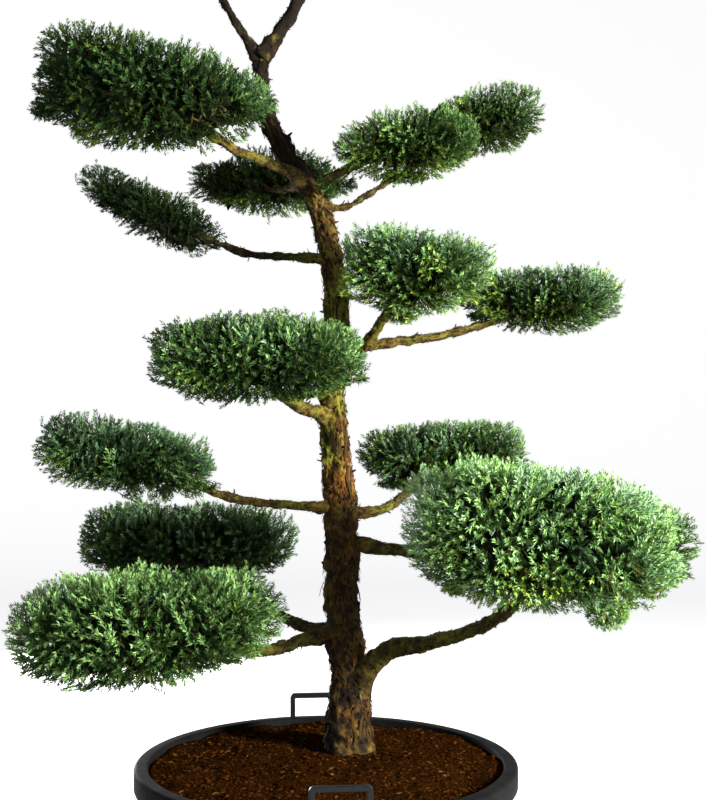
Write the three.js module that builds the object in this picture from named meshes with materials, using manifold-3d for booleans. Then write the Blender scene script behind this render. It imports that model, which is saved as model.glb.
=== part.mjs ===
// A cloud-pruned juniper in a round nursery pot: one trunk, boughs that leave it one by one,
// and a clipped mass of foliage on each bough.
// Millimetres, +Z up. The origin is the centre of the pot's flat underside.

import * as THREE from "three";
import { mergeVertices } from "three/addons/utils/BufferGeometryUtils.js";
import Module from "manifold-3d";

const wasm = await Module();
wasm.setup();

// Driving dimensions

const CLEARANCE = 0.3; // gap left between pieces that touch on the real plant
const FACETS = 32; // sides of the pot and of the soil in it

const POT = {
  height: 518,
  baseRadius: 306,
  neckRadius: 363, // outer wall just under the lip
  lipRadius: 387,
  lipDrop: 42, // how far the lip's skirt turns down
  lipRound: 7, // rounding of the lip's top edge
  mouthRound: 2, // and of the mouth's edge
  wall: 4,
  drainHoles: 6,
  drainRadius: 9,
  drainSides: 8,
  drainCircle: 240,
};

const HANDLE = {
  width: 114, // outside of the two legs
  bar: 11, // square bar
  rise: 55, // top of the bar above the pot's lip
  depth: 33, // how far the legs reach into their bosses
  distance: 369, // pot's axis to the middle of the bar
  turn: 5.1, // degrees, the pair's turn about the pot's axis
  bossWidth: 26,
  bossInner: 361, // radii between which a boss fills the lip's hollow
  bossOuter: 384.5,
  bossFloor: 5, // material left under each leg
};

const SOIL = {
  edge: 507, // level where the soil meets the pot's wall
  crown: 519.7, // level of the flat patch under the trunk
  patchRadius: 84,
  rings: [84, 140, 205, 285],
  roughness: 7,
  hair: 1, // a vertex this far above the edge or outside the patch belongs to the slope
  seed: 5,
};

const TRUNK = {
  sides: 12,
  steps: 26,
  flare: 0.16, // share that the root flare adds at the cut
  flareHeight: 34,
  flareLobes: 5,
  lobeShare: 0.4, // how much of the flare comes and goes round the trunk
  waver: 0.045, // share by which the radius wavers
  waverTurns: [38, 57], // how fast it wavers from foot to fork, in radians
  levelled: 10, // vertices this near the cut lie in it
  // centre line with its radius, from the flat cut at soil level to the fork
  path: [
    [46, 80, 520, 45.6],
    [46, 80, 585, 43.6],
    [47, 78, 664, 39.1],
    [33, 74, 787, 34.4],
    [31, 70, 917, 33],
    [27, 68, 1020, 32.2],
    [19, 66, 1146, 30.1],
    [11, 64, 1237, 27.1],
    [13, 62, 1332, 24.8],
    [21, 59, 1456, 23.8],
    [9, 56, 1542, 22.7],
    [-24, 52, 1663, 20.1],
    [-80, 50, 1747, 18.2],
    [-113, 50, 1811, 16.4],
    [-134, 50, 1873, 15],
    [-135, 50, 1923, 14.2],
    [-130, 50, 1960, 16.2],
  ],
};

const BOUGH = { sides: 6, step: 62, fewestSteps: 5, waver: 0.05, waverTurns: 21 };

const LIMB_SPOT_STEP = 9; // spacing of the points on a limb that sprays are kept clear of

// Each bough: the limbs that it springs from, and its centre line with its radius
const BOUGHS = {
  low_left_front: {
    from: ["trunk"],
    path: [[27, 75, 767, 16], [-63, 8, 756, 12.2], [-111, -80, 757, 11.7], [-175, -172, 779, 10.1]],
  },
  low_left_back: {
    from: ["trunk"],
    path: [[19, 80, 761, 13.5], [-68, 165, 768, 12], [-132, 225, 791, 12], [-185, 268, 848, 10]],
  },
  low_right_front: {
    from: ["trunk"],
    path: [
      [52, 80, 622, 20.1],
      [81, 54, 686, 23.1],
      [125, 17, 737, 19.1],
      [206, -65, 769, 15.1],
      [303, -170, 822, 11.7],
      [355, -236, 873, 10.7],
    ],
  },
  low_right_back: {
    from: ["trunk"],
    path: [[37, 70, 952, 14], [130, 65, 939, 12.5], [261, 62, 929, 11.5], [413, 74, 925, 10.5]],
  },
  lower_left: {
    from: ["trunk"],
    path: [[35, 68, 1023, 12], [-95, 15, 1037, 8.5], [-194, -20, 1054, 8.1], [-289, -48, 1094, 7.1]],
  },
  lower_right_back: {
    from: ["trunk"],
    path: [[37, 72, 1014, 12], [111, 130, 1015, 9], [160, 192, 1038, 8.5], [200, 250, 1079, 7.5]],
  },
  middle_left_front: {
    from: ["trunk"],
    path: [[9, 62, 1212, 16.1], [-47, -15, 1234, 11.6], [-89, -88, 1262, 9.6], [-120, -140, 1292, 8.6]],
  },
  middle_right_back: {
    from: ["trunk"],
    path: [[27, 61, 1336, 12], [85, 52, 1360, 9.5], [236, 85, 1383, 8.5], [353, 112, 1414, 7.5]],
  },
  middle_right_front: {
    from: ["middle_right_back", "trunk"],
    path: [[78, 52, 1358, 9], [100, 10, 1391, 8], [126, -40, 1433, 7.6], [151, -80, 1474, 7.1]],
  },
  upper_left_back: {
    from: ["trunk"],
    path: [[3, 55, 1540, 10], [-64, 57, 1545, 7.5], [-161, 63, 1551, 6.5], [-263, 78, 1589, 6]],
  },
  upper_right_front: {
    from: ["trunk"],
    path: [[-20, 52, 1669, 11.1], [9, 25, 1704, 8.6], [60, -10, 1723, 7.6], [119, -40, 1738, 6.6]],
  },
  upper_right_back: {
    from: ["trunk"],
    path: [[-14, 52, 1653, 9], [31, 70, 1647, 6.5], [128, 130, 1710, 6], [262, 165, 1794, 5.5]],
  },
  upper_back: {
    from: ["trunk"],
    path: [[-40, 51, 1686, 10], [-62, 110, 1699, 8], [-90, 190, 1704, 7.5], [-116, 252, 1711, 7]],
  },
  high_left_front: {
    from: ["trunk"],
    path: [[-42, 50, 1698, 14.1], [-92, 10, 1722, 10.1], [-180, -75, 1744, 9.1], [-250, -128, 1786, 8.1]],
  },
  leader: {
    from: ["trunk"],
    path: [
      [-135, 50, 1952, 15.6],
      [-86, 54, 2023, 13.3],
      [-48, 60, 2098, 11.2],
      [-4, 66, 2209, 10],
      [28, 62, 2287, 8.5],
    ],
  },
  top_left: {
    from: ["leader", "trunk"],
    path: [[-137, 50, 1945, 11.1], [-174, 46, 2004, 7.5], [-214, 40, 2068, 7.5], [-264, 28, 2135, 6]],
  },
  top_right_back: {
    from: ["leader"],
    path: [[-38, 61, 2124, 8], [10, 92, 2149, 6.5], [90, 148, 2169, 6], [176, 198, 2196, 5.5]],
  },
};

const MASS = {
  squareness: 3.2, // exponent of the clipped, rounded outline, seen from above and in its upper half
  squarenessBelow: 2.1, // and in its lower half
  reach: 34, // how far the sprays stand out of the core at the sides
  reachUp: 24,
  reachDown: 24,
  lump: 0.05, // broad swellings of the outline
  lumpTurns: [3.1, 3.7, 2], // how fast they follow each other round the mass
  tuft: 8, // how far single points of the core are drawn in
  detail: 1,
};

const STEM = {
  length: 34, // from the bough's tip to the fork
  twigs: 5,
  twigShare: 0.55, // a twig's radius where it leaves the stem, as a share of the bough's tip
  endShare: 0.35,
  leave: 0.5, // the first twig leaves this far along the stem
  droop: 0.5, // how far below the level the twigs may head
  inset: 1.8, // how deep in the core they end, as a share of the sprays' reach
};

// A spray's length goes with the height of its mass. It points between the way out from the mass's heart
// and the way the surface faces
const SPRAY = {
  few: 6, // on the smallest mass, and how many more for each square metre of its surface
  perSquareMetre: 34,
  cornerShare: 0.9, // what its rounded corners leave of that surface
  lengthShare: 0.46, // of the mass's whole height
  widthShare: 0.86, // of the spray's length
  thickShare: 0.08,
  rise: 0.3,
  facing: 0.4,
  shake: 0.7,
  roll: 3,
  tipInset: 0.2, // how far some tips stay short of the outline, as a share of the reach
  limbGap: 6,
};

// Each mass stands on the bough of the same name. Its centre, half sizes along and across, rise and drop
// about the centre, the tilt in degrees that lifts its +X end, and on some the share by which it grows
// thinner towards that end
const MASSES = {
  low_left_front: { at: [-320, -285, 827], half: [253, 199], rise: 124, drop: 97, tilt: 4.5, taper: 0.12 },
  low_left_back: { at: [-326, 325, 911], half: [255, 179], rise: 111, drop: 87, tilt: -1 },
  low_right_front: { at: [389, -338, 983], half: [253, 178], rise: 164, drop: 114, tilt: -7, taper: 0.14 },
  low_right_back: { at: [566, 92, 944], half: [207, 176], rise: 116, drop: 112, tilt: -4 },
  lower_left: { at: [-395, -62, 1130], half: [192, 156], rise: 85, drop: 77, tilt: -10 },
  lower_right_back: { at: [253, 330, 1113], half: [197, 159], rise: 91, drop: 83, tilt: 3 },
  middle_left_front: { at: [-127, -205, 1324], half: [208, 163], rise: 98, drop: 89, tilt: 0 },
  middle_right_back: { at: [451, 130, 1456], half: [174, 140], rise: 78, drop: 72, tilt: 0 },
  middle_right_front: { at: [175, -132, 1504], half: [159, 130], rise: 86, drop: 103, tilt: -3, taper: 0.15 },
  upper_left_back: { at: [-364, 92, 1639], half: [167, 115], rise: 60, drop: 60, tilt: -25 },
  upper_right_front: { at: [168, -62, 1751], half: [156, 119], rise: 77, drop: 77, tilt: 9 },
  upper_right_back: { at: [339, 180, 1841], half: [126, 104], rise: 80, drop: 74, tilt: 12 },
  upper_back: { at: [-136, 335, 1732], half: [188, 139], rise: 77, drop: 70, tilt: 0 },
  high_left_front: { at: [-322, -190, 1827], half: [240, 175], rise: 105, drop: 111, tilt: -9, taper: 0.3 },
  top_left: { at: [-302, 22, 2178], half: [137, 113], rise: 81, drop: 70, tilt: 0 },
  leader: { at: [62, 58, 2331], half: [189, 151], rise: 105, drop: 98, tilt: 4 },
  top_right_back: { at: [256, 236, 2223], half: [112, 98], rise: 64, drop: 60, tilt: 6 },
};

// Materials

const MATERIALS = {
  plastic: new THREE.MeshStandardMaterial({ color: 0x1b1c1e, roughness: 0.55, metalness: 0 }),
  steel: new THREE.MeshStandardMaterial({ color: 0x18191a, roughness: 0.45, metalness: 0.3 }),
  soil: new THREE.MeshStandardMaterial({ color: 0x5a2d18, roughness: 1, metalness: 0 }),
  bark: new THREE.MeshStandardMaterial({ color: 0x5b4229, roughness: 0.95, metalness: 0 }),
  foliage: new THREE.MeshStandardMaterial({ color: 0x3f6b4f, roughness: 0.8, metalness: 0 }),
};

// Helpers

const UP = new THREE.Vector3(0, 0, 1);
const WELD = 1e-4; // vertices closer than this are one

function vector(values) {
  return new THREE.Vector3(values[0], values[1], values[2]);
}

// A repeatable stream of numbers from 0 to 1
function randomStream(seed) {
  let state = seed >>> 0;
  return () => {
    state = (state + 0x6d2b79f5) >>> 0;
    let mixed = Math.imul(state ^ (state >>> 15), 1 | state);
    mixed = (mixed + Math.imul(mixed ^ (mixed >>> 7), 61 | mixed)) ^ mixed;
    return ((mixed ^ (mixed >>> 14)) >>> 0) / 4294967296;
  };
}

// A number that belongs to a name, to seed its stream
function seedOf(name) {
  return [...name].reduce((sum, letter) => (sum * 31 + letter.charCodeAt(0)) >>> 0, 7);
}

// Joins the vertices that faces share, so that the geometry is closed
function welded(geometry) {
  geometry.deleteAttribute("normal");
  geometry.deleteAttribute("uv");
  return mergeVertices(geometry, WELD);
}

function toSolid(geometry) {
  const merged = welded(geometry);
  const mesh = new wasm.Mesh({
    numProp: 3,
    vertProperties: new Float32Array(merged.attributes.position.array),
    triVerts: new Uint32Array(merged.index.array),
  });
  return new wasm.Manifold(mesh);
}

function toGeometry(solid) {
  const mesh = solid.getMesh();
  const geometry = new THREE.BufferGeometry();
  geometry.setAttribute("position", new THREE.BufferAttribute(mesh.vertProperties, 3));
  geometry.setIndex(new THREE.BufferAttribute(mesh.triVerts, 1));
  geometry.computeVertexNormals();
  return geometry;
}

// The largest body of a solid: loose scraps go, and sealed hollows are filled
function largestBody(solid) {
  const bodies = solid.decompose();
  return bodies.reduce((best, body) => (body.volume() > best.volume() ? body : best));
}

// Limbs

function radiusAt(path, curve, share) {
  const spot = curve.getUtoTmapping(share) * (path.length - 1);
  const before = Math.min(Math.floor(spot), path.length - 2);
  return THREE.MathUtils.lerp(path[before][3], path[before + 1][3], spot - before);
}

// A round bar bent along a path of [x, y, z, radius] points, with closed ends. It may be swollen by a
// margin, and its radius may vary with the angle and the way along it
function limbGeometry(path, sides, steps, margin = 0, vary = () => 1) {
  const curve = new THREE.CatmullRomCurve3(path.map(vector), false, "centripetal");
  const frames = curve.computeFrenetFrames(steps, false);
  const geometry = new THREE.CylinderGeometry(1, 1, steps, sides, steps);
  const position = geometry.attributes.position;
  const point = new THREE.Vector3();
  for (let i = 0; i < position.count; i += 1) {
    const step = Math.round(position.getY(i) + steps / 2);
    const share = step / steps;
    const [x, z] = [position.getX(i), position.getZ(i)];
    const size = radiusAt(path, curve, share) * vary(share, Math.atan2(z, x)) + margin;
    const end = step === steps ? margin : 0;
    point.copy(curve.getPointAt(share));
    point.addScaledVector(frames.normals[step], x * size);
    point.addScaledVector(frames.binormals[step], -z * size);
    point.addScaledVector(frames.tangents[step], end);
    position.setXYZ(i, point.x, point.y, point.z);
  }
  return geometry;
}

// The trunk's radius swells into lobed roots at its foot and wavers a little above it
function trunkVary(share, angle) {
  const height = share * (TRUNK.path.at(-1)[2] - TRUNK.path[0][2]);
  const fade = Math.exp(-height / TRUNK.flareHeight);
  const lobes = 1 + TRUNK.lobeShare * Math.cos(TRUNK.flareLobes * angle);
  const [slow, fast] = TRUNK.waverTurns;
  const waver = Math.sin(3 * angle + slow * share) * Math.cos(angle - fast * share);
  return 1 + TRUNK.flare * fade * lobes + TRUNK.waver * waver;
}

function trunkSolid(margin) {
  const geometry = limbGeometry(TRUNK.path, TRUNK.sides, TRUNK.steps, margin, trunkVary);
  const position = geometry.attributes.position;
  const cut = TRUNK.path[0][2];
  for (let i = 0; i < position.count; i += 1) {
    if (position.getZ(i) < cut + TRUNK.levelled) {
      position.setZ(i, cut);
    }
  }
  return toSolid(geometry);
}

function pathLength(path) {
  let length = 0;
  for (let i = 1; i < path.length; i += 1) {
    length += vector(path[i]).distanceTo(vector(path[i - 1]));
  }
  return length;
}

function boughVary(name) {
  const start = 2 * Math.PI * randomStream(seedOf(name))();
  return (share, angle) => 1 + BOUGH.waver * Math.sin(2 * angle + BOUGH.waverTurns * share + start);
}

function boughSolid(name, margin) {
  const path = BOUGHS[name].path;
  const steps = Math.max(BOUGH.fewestSteps, Math.round(pathLength(path) / BOUGH.step));
  return toSolid(limbGeometry(path, BOUGH.sides, steps, margin, boughVary(name)));
}

// The trunk or bough of that name, swollen by the clearance so that it can cut its neighbours
function swollen(name) {
  return name === "trunk" ? trunkSolid(CLEARANCE) : boughSolid(name, CLEARANCE);
}

function cutBough(name) {
  let solid = boughSolid(name, 0);
  for (const parent of BOUGHS[name].from) {
    solid = solid.subtract(swollen(parent));
  }
  return largestBody(solid);
}

// Foliage

// A straight three-sided twig that tapers from one point to another
function twig(from, to, startRadius, endRadius) {
  const length = from.distanceTo(to);
  const geometry = new THREE.CylinderGeometry(endRadius, startRadius, length, 3, 1);
  const along = to.clone().sub(from).normalize();
  geometry.translate(0, length / 2, 0);
  geometry.applyQuaternion(new THREE.Quaternion().setFromUnitVectors(new THREE.Vector3(0, 1, 0), along));
  geometry.translate(from.x, from.y, from.z);
  return toSolid(geometry);
}

// A spray's outline, as shares of its length and width: root, tooth, notch, tip, notch, tooth
const SPRAY_OUTLINE = [[0, 0], [0.68, -0.5], [0.76, -0.17], [1, -0.04], [0.7, 0.2], [0.56, 0.5]];
const SPRAY_RIDGE = 0.5; // how far along the blade it is thickest

// A toothed blade, thickest at its ridge and sharp along its outline
function spray(root, along, across, length) {
  const face = new THREE.Vector3().crossVectors(along, across);
  const place = (share, side, lift) => root.clone()
    .addScaledVector(along, share * length)
    .addScaledVector(across, side * length * SPRAY.widthShare)
    .addScaledVector(face, (lift * length * SPRAY.thickShare) / 2);
  const points = SPRAY_OUTLINE.map(([share, side]) => place(share, side, 0));
  const above = points.length;
  points.push(place(SPRAY_RIDGE, 0, 1), place(SPRAY_RIDGE, 0, -1));
  const index = [];
  for (let i = 0; i < above; i += 1) {
    const next = (i + 1) % above;
    index.push(above, i, next, above + 1, next, i);
  }
  const geometry = new THREE.BufferGeometry().setFromPoints(points);
  geometry.setIndex(index);
  return toSolid(geometry);
}

// Turns a vector with its mass, whose +X end is lifted by the tilt
function tilted(mass, point) {
  return point.applyAxisAngle(new THREE.Vector3(0, 1, 0), -THREE.MathUtils.degToRad(mass.tilt));
}

// The length of (a, b) where a circle is a rounded square: an exponent of 2 gives the true length
function roundedLength(a, b, power) {
  return (Math.abs(a) ** power + Math.abs(b) ** power) ** (1 / power);
}

// A point of a mass in the given direction from its centre, pulled in by a share of the sprays' reach
function massPoint(mass, direction, inset) {
  const { x, y, z } = direction;
  const { taper = 0 } = mass;
  const plan = roundedLength(x, y, MASS.squareness);
  const norm = roundedLength(plan, z, z > 0 ? MASS.squareness : MASS.squarenessBelow);
  const [turnX, turnY, turnZ] = MASS.lumpTurns;
  const wave = Math.sin(turnX * x + turnZ * z + mass.lumpStart[0]) * Math.cos(turnY * y - mass.lumpStart[1]);
  const lump = 1 + MASS.lump * wave;
  const height = z > 0 ? mass.rise - MASS.reachUp * inset : mass.drop - MASS.reachDown * inset;
  const point = new THREE.Vector3(
    (mass.half[0] - MASS.reach * inset) * x,
    (mass.half[1] - MASS.reach * inset) * y,
    height * (1 - taper * x) * z,
  );
  return tilted(mass, point.multiplyScalar(lump / norm)).add(vector(mass.at));
}

// Which way a mass faces at the point that massPoint gives
function massNormal(mass, { x, y, z }) {
  const height = z > 0 ? mass.rise : mass.drop;
  return tilted(mass, new THREE.Vector3(x / mass.half[0], y / mass.half[1], z / height)).normalize();
}

// The clipped inside of a mass, closed and rough, that the sprays stand out of
function massCore(mass, random) {
  const geometry = welded(new THREE.IcosahedronGeometry(1, MASS.detail));
  const position = geometry.attributes.position;
  for (let i = 0; i < position.count; i += 1) {
    const direction = new THREE.Vector3().fromBufferAttribute(position, i).normalize();
    const tuft = (random() * MASS.tuft) / MASS.reach;
    const point = massPoint(mass, direction, 1 + tuft);
    position.setXYZ(i, point.x, point.y, point.z);
  }
  return toSolid(geometry);
}

const DIRECTION_SHAKE = 0.5; // radians

// Evenly spread directions, each shaken a little
function spreadDirections(count, random) {
  const golden = Math.PI * (3 - Math.sqrt(5));
  const start = random() * 2 * Math.PI;
  return Array.from({ length: count }, (_, i) => {
    const z = 1 - (2 * i + 1) / count;
    const ring = Math.sqrt(1 - z * z);
    const angle = start + golden * i + DIRECTION_SHAKE * (random() - 0.5);
    return new THREE.Vector3(ring * Math.cos(angle), ring * Math.sin(angle), z);
  });
}

// Points along a path's centre line, each with the radius there
function limbSpots(path) {
  const curve = new THREE.CatmullRomCurve3(path.map(vector), false, "centripetal");
  const count = Math.ceil(pathLength(path) / LIMB_SPOT_STEP);
  return Array.from({ length: count + 1 }, (_, i) => ({
    point: curve.getPointAt(i / count),
    radius: radiusAt(path, curve, i / count),
  }));
}

// How clear a stretch is of every limb
function limbDistance(from, to, spots) {
  const points = [0, 0.5, 1].map((share) => from.clone().lerp(to, share));
  const gaps = spots.flatMap((spot) => points.map((point) => spot.point.distanceTo(point) - spot.radius));
  return Math.min(...gaps);
}

// The stem that carries on from the bough's tip, and the twigs that leave it for the mass
function massTwigs(mass, path, random) {
  const curve = new THREE.CatmullRomCurve3(path.map(vector), false, "centripetal");
  const along = curve.getTangentAt(1);
  const radius = path.at(-1)[3];
  const foot = vector(path.at(-1)).addScaledVector(along, CLEARANCE);
  const fork = foot.clone().addScaledVector(along, STEM.length);
  let solid = twig(foot, fork, radius, radius * STEM.twigShare);
  solid = solid.add(twig(fork, vector(mass.at), radius * STEM.twigShare, radius * STEM.endShare));
  const start = random() * 2 * Math.PI;
  for (let i = 0; i < STEM.twigs; i += 1) {
    const angle = start + (i * 2 * Math.PI) / STEM.twigs;
    const direction = new THREE.Vector3(Math.cos(angle), Math.sin(angle), -STEM.droop * random()).normalize();
    const leave = foot.clone().lerp(fork, THREE.MathUtils.lerp(STEM.leave, 1, random()));
    const end = massPoint(mass, direction, STEM.inset);
    solid = solid.add(twig(leave, end, radius * STEM.twigShare, radius * STEM.endShare));
  }
  return solid;
}

// A flattened mass's surface is about its two faces and the band between them
function sprayCount({ half: [long, wide], rise, drop }) {
  const faces = 2 * Math.PI * long * wide;
  const band = 2 * Math.PI * Math.hypot(long, wide) * Math.SQRT1_2 * (rise + drop);
  const squareMetres = (SPRAY.cornerShare * (faces + band)) / 1e6;
  return Math.round(SPRAY.few + SPRAY.perSquareMetre * squareMetres);
}

function massSolid(name, spots) {
  const random = randomStream(seedOf(name));
  const mass = { ...MASSES[name], lumpStart: [random() * 2 * Math.PI, random() * 2 * Math.PI] };
  const heart = vector(mass.at);
  const length = SPRAY.lengthShare * (mass.rise + mass.drop);
  let solid = massCore(mass, random).add(massTwigs(mass, BOUGHS[name].path, random));
  for (const direction of spreadDirections(sprayCount(mass), random)) {
    const tip = massPoint(mass, direction, SPRAY.tipInset * random());
    const facing = massNormal(mass, direction);
    const shake = new THREE.Vector3(random() - 0.5, random() - 0.5, random() - 0.5);
    const along = tip.clone().sub(heart).normalize().addScaledVector(UP, SPRAY.rise * random());
    along.addScaledVector(facing, SPRAY.facing).addScaledVector(shake, SPRAY.shake).normalize();
    const root = tip.clone().addScaledVector(along, -length);
    const across = new THREE.Vector3().crossVectors(along, UP).normalize();
    across.applyAxisAngle(along, SPRAY.roll * (random() - 0.5));
    if (limbDistance(root, tip, spots) > SPRAY.limbGap) {
      solid = solid.add(spray(root, along, across, length));
    }
  }
  return solid;
}

// Pot, handles and soil

function potProfile() {
  const { height, baseRadius, neckRadius, lipRadius, lipDrop, lipRound, mouthRound, wall } = POT;
  const lipEase = lipRound * (1 - Math.SQRT1_2); // how far the middle of the rounding lies in
  const neckHeight = height - wall;
  return [
    [0, 0],
    [baseRadius, 0],
    [neckRadius, neckHeight],
    [lipRadius - wall, neckHeight],
    [lipRadius - wall, height - lipDrop],
    [lipRadius, height - lipDrop],
    [lipRadius, height - lipRound],
    [lipRadius - lipEase, height - lipEase],
    [lipRadius - lipRound, height],
    [neckRadius - wall + mouthRound, height],
    [neckRadius - wall, height - mouthRound],
    [baseRadius - wall, wall],
    [0, wall],
  ].map(([radius, z]) => new THREE.Vector2(radius, z));
}

function lathe(profile) {
  const geometry = new THREE.LatheGeometry(profile, FACETS);
  geometry.rotateX(Math.PI / 2);
  return geometry;
}

const HANDLE_SPOTS = { handle_front: -90 + HANDLE.turn, handle_back: 90 + HANDLE.turn };

// A block in a handle's own frame, where +X points away from the pot's axis
function handleBlock(spot, x, y, bottom, sizeX, sizeY, sizeZ, turn = 0) {
  const block = new THREE.BoxGeometry(sizeX, sizeY, sizeZ);
  block.rotateZ(turn);
  block.translate(x, y, bottom + sizeZ / 2);
  block.rotateZ(THREE.MathUtils.degToRad(spot));
  return toSolid(block);
}

const LEG_OFFSET = (HANDLE.width - HANDLE.bar) / 2;

function potSolid() {
  let pot = toSolid(lathe(potProfile()));
  const pocket = HANDLE.bar + 2 * CLEARANCE;
  const pocketBottom = POT.height - HANDLE.depth - CLEARANCE;
  const bossDepth = HANDLE.bossOuter - HANDLE.bossInner;
  const bossBottom = pocketBottom - HANDLE.bossFloor;
  const bossHeight = POT.height - POT.wall / 2 - bossBottom;
  const bossAngle = Math.atan2(LEG_OFFSET, HANDLE.distance);
  const bossMiddle = (HANDLE.bossOuter + HANDLE.bossInner) / 2;
  for (const spot of Object.values(HANDLE_SPOTS)) {
    for (const side of [-1, 1]) {
      const angle = side * bossAngle;
      const x = bossMiddle * Math.cos(angle);
      const y = bossMiddle * Math.sin(angle);
      pot = pot.add(handleBlock(spot, x, y, bossBottom, bossDepth, HANDLE.bossWidth, bossHeight, angle));
    }
  }
  for (const spot of Object.values(HANDLE_SPOTS)) {
    for (const side of [-1, 1]) {
      const y = side * LEG_OFFSET;
      pot = pot.subtract(handleBlock(spot, HANDLE.distance, y, pocketBottom, pocket, pocket, POT.height));
    }
  }
  for (let i = 0; i < POT.drainHoles; i += 1) {
    const angle = (i * 2 * Math.PI) / POT.drainHoles;
    const drill = new THREE.CylinderGeometry(POT.drainRadius, POT.drainRadius, 3 * POT.wall, POT.drainSides);
    drill.rotateX(Math.PI / 2);
    drill.translate(POT.drainCircle * Math.cos(angle), POT.drainCircle * Math.sin(angle), POT.wall / 2);
    pot = pot.subtract(toSolid(drill));
  }
  return pot;
}

// A square-cornered loop with its legs down, cut from a flat outline
function handleGeometry() {
  const half = HANDLE.width / 2;
  const top = POT.height + HANDLE.rise;
  const bottom = POT.height - HANDLE.depth;
  const outline = new THREE.Shape([
    [-half, bottom],
    [-half + HANDLE.bar, bottom],
    [-half + HANDLE.bar, top - HANDLE.bar],
    [half - HANDLE.bar, top - HANDLE.bar],
    [half - HANDLE.bar, bottom],
    [half, bottom],
    [half, top],
    [-half, top],
  ].map(([y, z]) => new THREE.Vector2(y, z)));
  const geometry = new THREE.ExtrudeGeometry(outline, { depth: HANDLE.bar, bevelEnabled: false });
  geometry.translate(0, 0, -HANDLE.bar / 2);
  geometry.rotateX(Math.PI / 2);
  geometry.rotateZ(Math.PI / 2);
  return geometry;
}

// The soil fills the pot and rises to a flat patch under the trunk. Its rings drift from the pot's axis
// at the wall to the trunk's foot in the middle
function soilGeometry() {
  const innerRadius = (z) => THREE.MathUtils.mapLinear(
    z, POT.wall, POT.height - POT.mouthRound, POT.baseRadius - POT.wall, POT.neckRadius - POT.wall,
  ) - CLEARANCE / Math.cos(Math.PI / FACETS);
  const floor = POT.wall + CLEARANCE;
  const edgeRadius = innerRadius(SOIL.edge);
  const profile = [[0, floor], [innerRadius(floor), floor], [edgeRadius, SOIL.edge]];
  for (const radius of [...SOIL.rings].reverse()) {
    const share = (edgeRadius - radius) / (edgeRadius - SOIL.patchRadius);
    const climb = THREE.MathUtils.smoothstep(share, 0, 1);
    profile.push([radius, THREE.MathUtils.lerp(SOIL.edge, SOIL.crown, climb)]);
  }
  profile.push([0, SOIL.crown]);
  const geometry = welded(lathe(profile.map(([radius, z]) => new THREE.Vector2(radius, z))));
  const position = geometry.attributes.position;
  const random = randomStream(SOIL.seed);
  const [footX, footY] = TRUNK.path[0];
  for (let i = 0; i < position.count; i += 1) {
    const [x, y, z] = [position.getX(i), position.getY(i), position.getZ(i)];
    const radius = Math.hypot(x, y);
    if (z > SOIL.edge + SOIL.hair) {
      const drift = 1 - radius / edgeRadius;
      const rough = radius > SOIL.patchRadius + SOIL.hair ? (random() - 0.5) * SOIL.roughness : 0;
      position.setXYZ(i, x + drift * footX, y + drift * footY, z + rough);
    }
  }
  geometry.computeVertexNormals();
  return geometry;
}

// The plant in its pot

const plant = new THREE.Group();

function addPiece(name, geometry, material) {
  const mesh = new THREE.Mesh(geometry, material);
  mesh.name = name;
  plant.add(mesh);
  return mesh;
}

addPiece("pot", toGeometry(potSolid()), MATERIALS.plastic);
addPiece("soil", soilGeometry(), MATERIALS.soil);
for (const [name, spot] of Object.entries(HANDLE_SPOTS)) {
  const angle = THREE.MathUtils.degToRad(spot);
  const handle = addPiece(name, handleGeometry(), MATERIALS.steel);
  handle.position.set(HANDLE.distance * Math.cos(angle), HANDLE.distance * Math.sin(angle), 0);
  handle.rotation.z = angle;
}

addPiece("trunk", toGeometry(trunkSolid(0)), MATERIALS.bark);
const boughNames = Object.keys(BOUGHS);
for (const name of boughNames) {
  addPiece(`bough_${name}`, toGeometry(cutBough(name)), MATERIALS.bark);
}

const spots = [TRUNK.path, ...boughNames.map((name) => BOUGHS[name].path)].flatMap(limbSpots);
const cutters = ["trunk", ...boughNames].map(swollen);
for (const name of Object.keys(MASSES)) {
  let solid = massSolid(name, spots);
  for (const cutter of cutters) {
    if (solid.intersect(cutter).volume() > 0) {
      solid = solid.subtract(cutter);
    }
  }
  addPiece(`mass_${name}`, toGeometry(largestBody(solid)), MATERIALS.foliage);
}

export default plant;
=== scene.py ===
# The looks of a cloud-pruned juniper in its nursery pot, built round the packed frame.
# Tables and driving sizes are in millimetres, as in the frame's own source, unless a heading says metres.
# Every mesh is made in metres.

import itertools
import math
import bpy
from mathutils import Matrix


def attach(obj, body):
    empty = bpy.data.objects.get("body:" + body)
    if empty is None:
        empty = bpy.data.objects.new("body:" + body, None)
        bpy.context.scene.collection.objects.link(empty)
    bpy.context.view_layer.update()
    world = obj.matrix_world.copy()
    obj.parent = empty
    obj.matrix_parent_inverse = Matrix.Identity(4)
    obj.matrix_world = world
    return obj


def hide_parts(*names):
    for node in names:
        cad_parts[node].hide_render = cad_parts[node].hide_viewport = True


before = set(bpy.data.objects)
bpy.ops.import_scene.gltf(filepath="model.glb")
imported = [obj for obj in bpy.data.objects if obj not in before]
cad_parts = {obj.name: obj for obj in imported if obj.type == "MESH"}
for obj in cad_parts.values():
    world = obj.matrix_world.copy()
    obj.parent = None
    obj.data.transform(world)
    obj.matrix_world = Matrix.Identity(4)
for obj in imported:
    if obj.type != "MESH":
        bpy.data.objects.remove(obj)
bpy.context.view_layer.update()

from types import SimpleNamespace as Table

import bpy
import numpy as np
from mathutils import Vector

MM = 0.001
BODY = "root"
QUARTER = math.pi / 2
TURN = 2 * math.pi
GOLDEN = math.pi * (3 - math.sqrt(5))
UP = np.array([0.0, 0.0, 1.0])
ALONG = np.array([1.0, 0.0, 0.0])

# Camera, stage and lights, in metres

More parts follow.
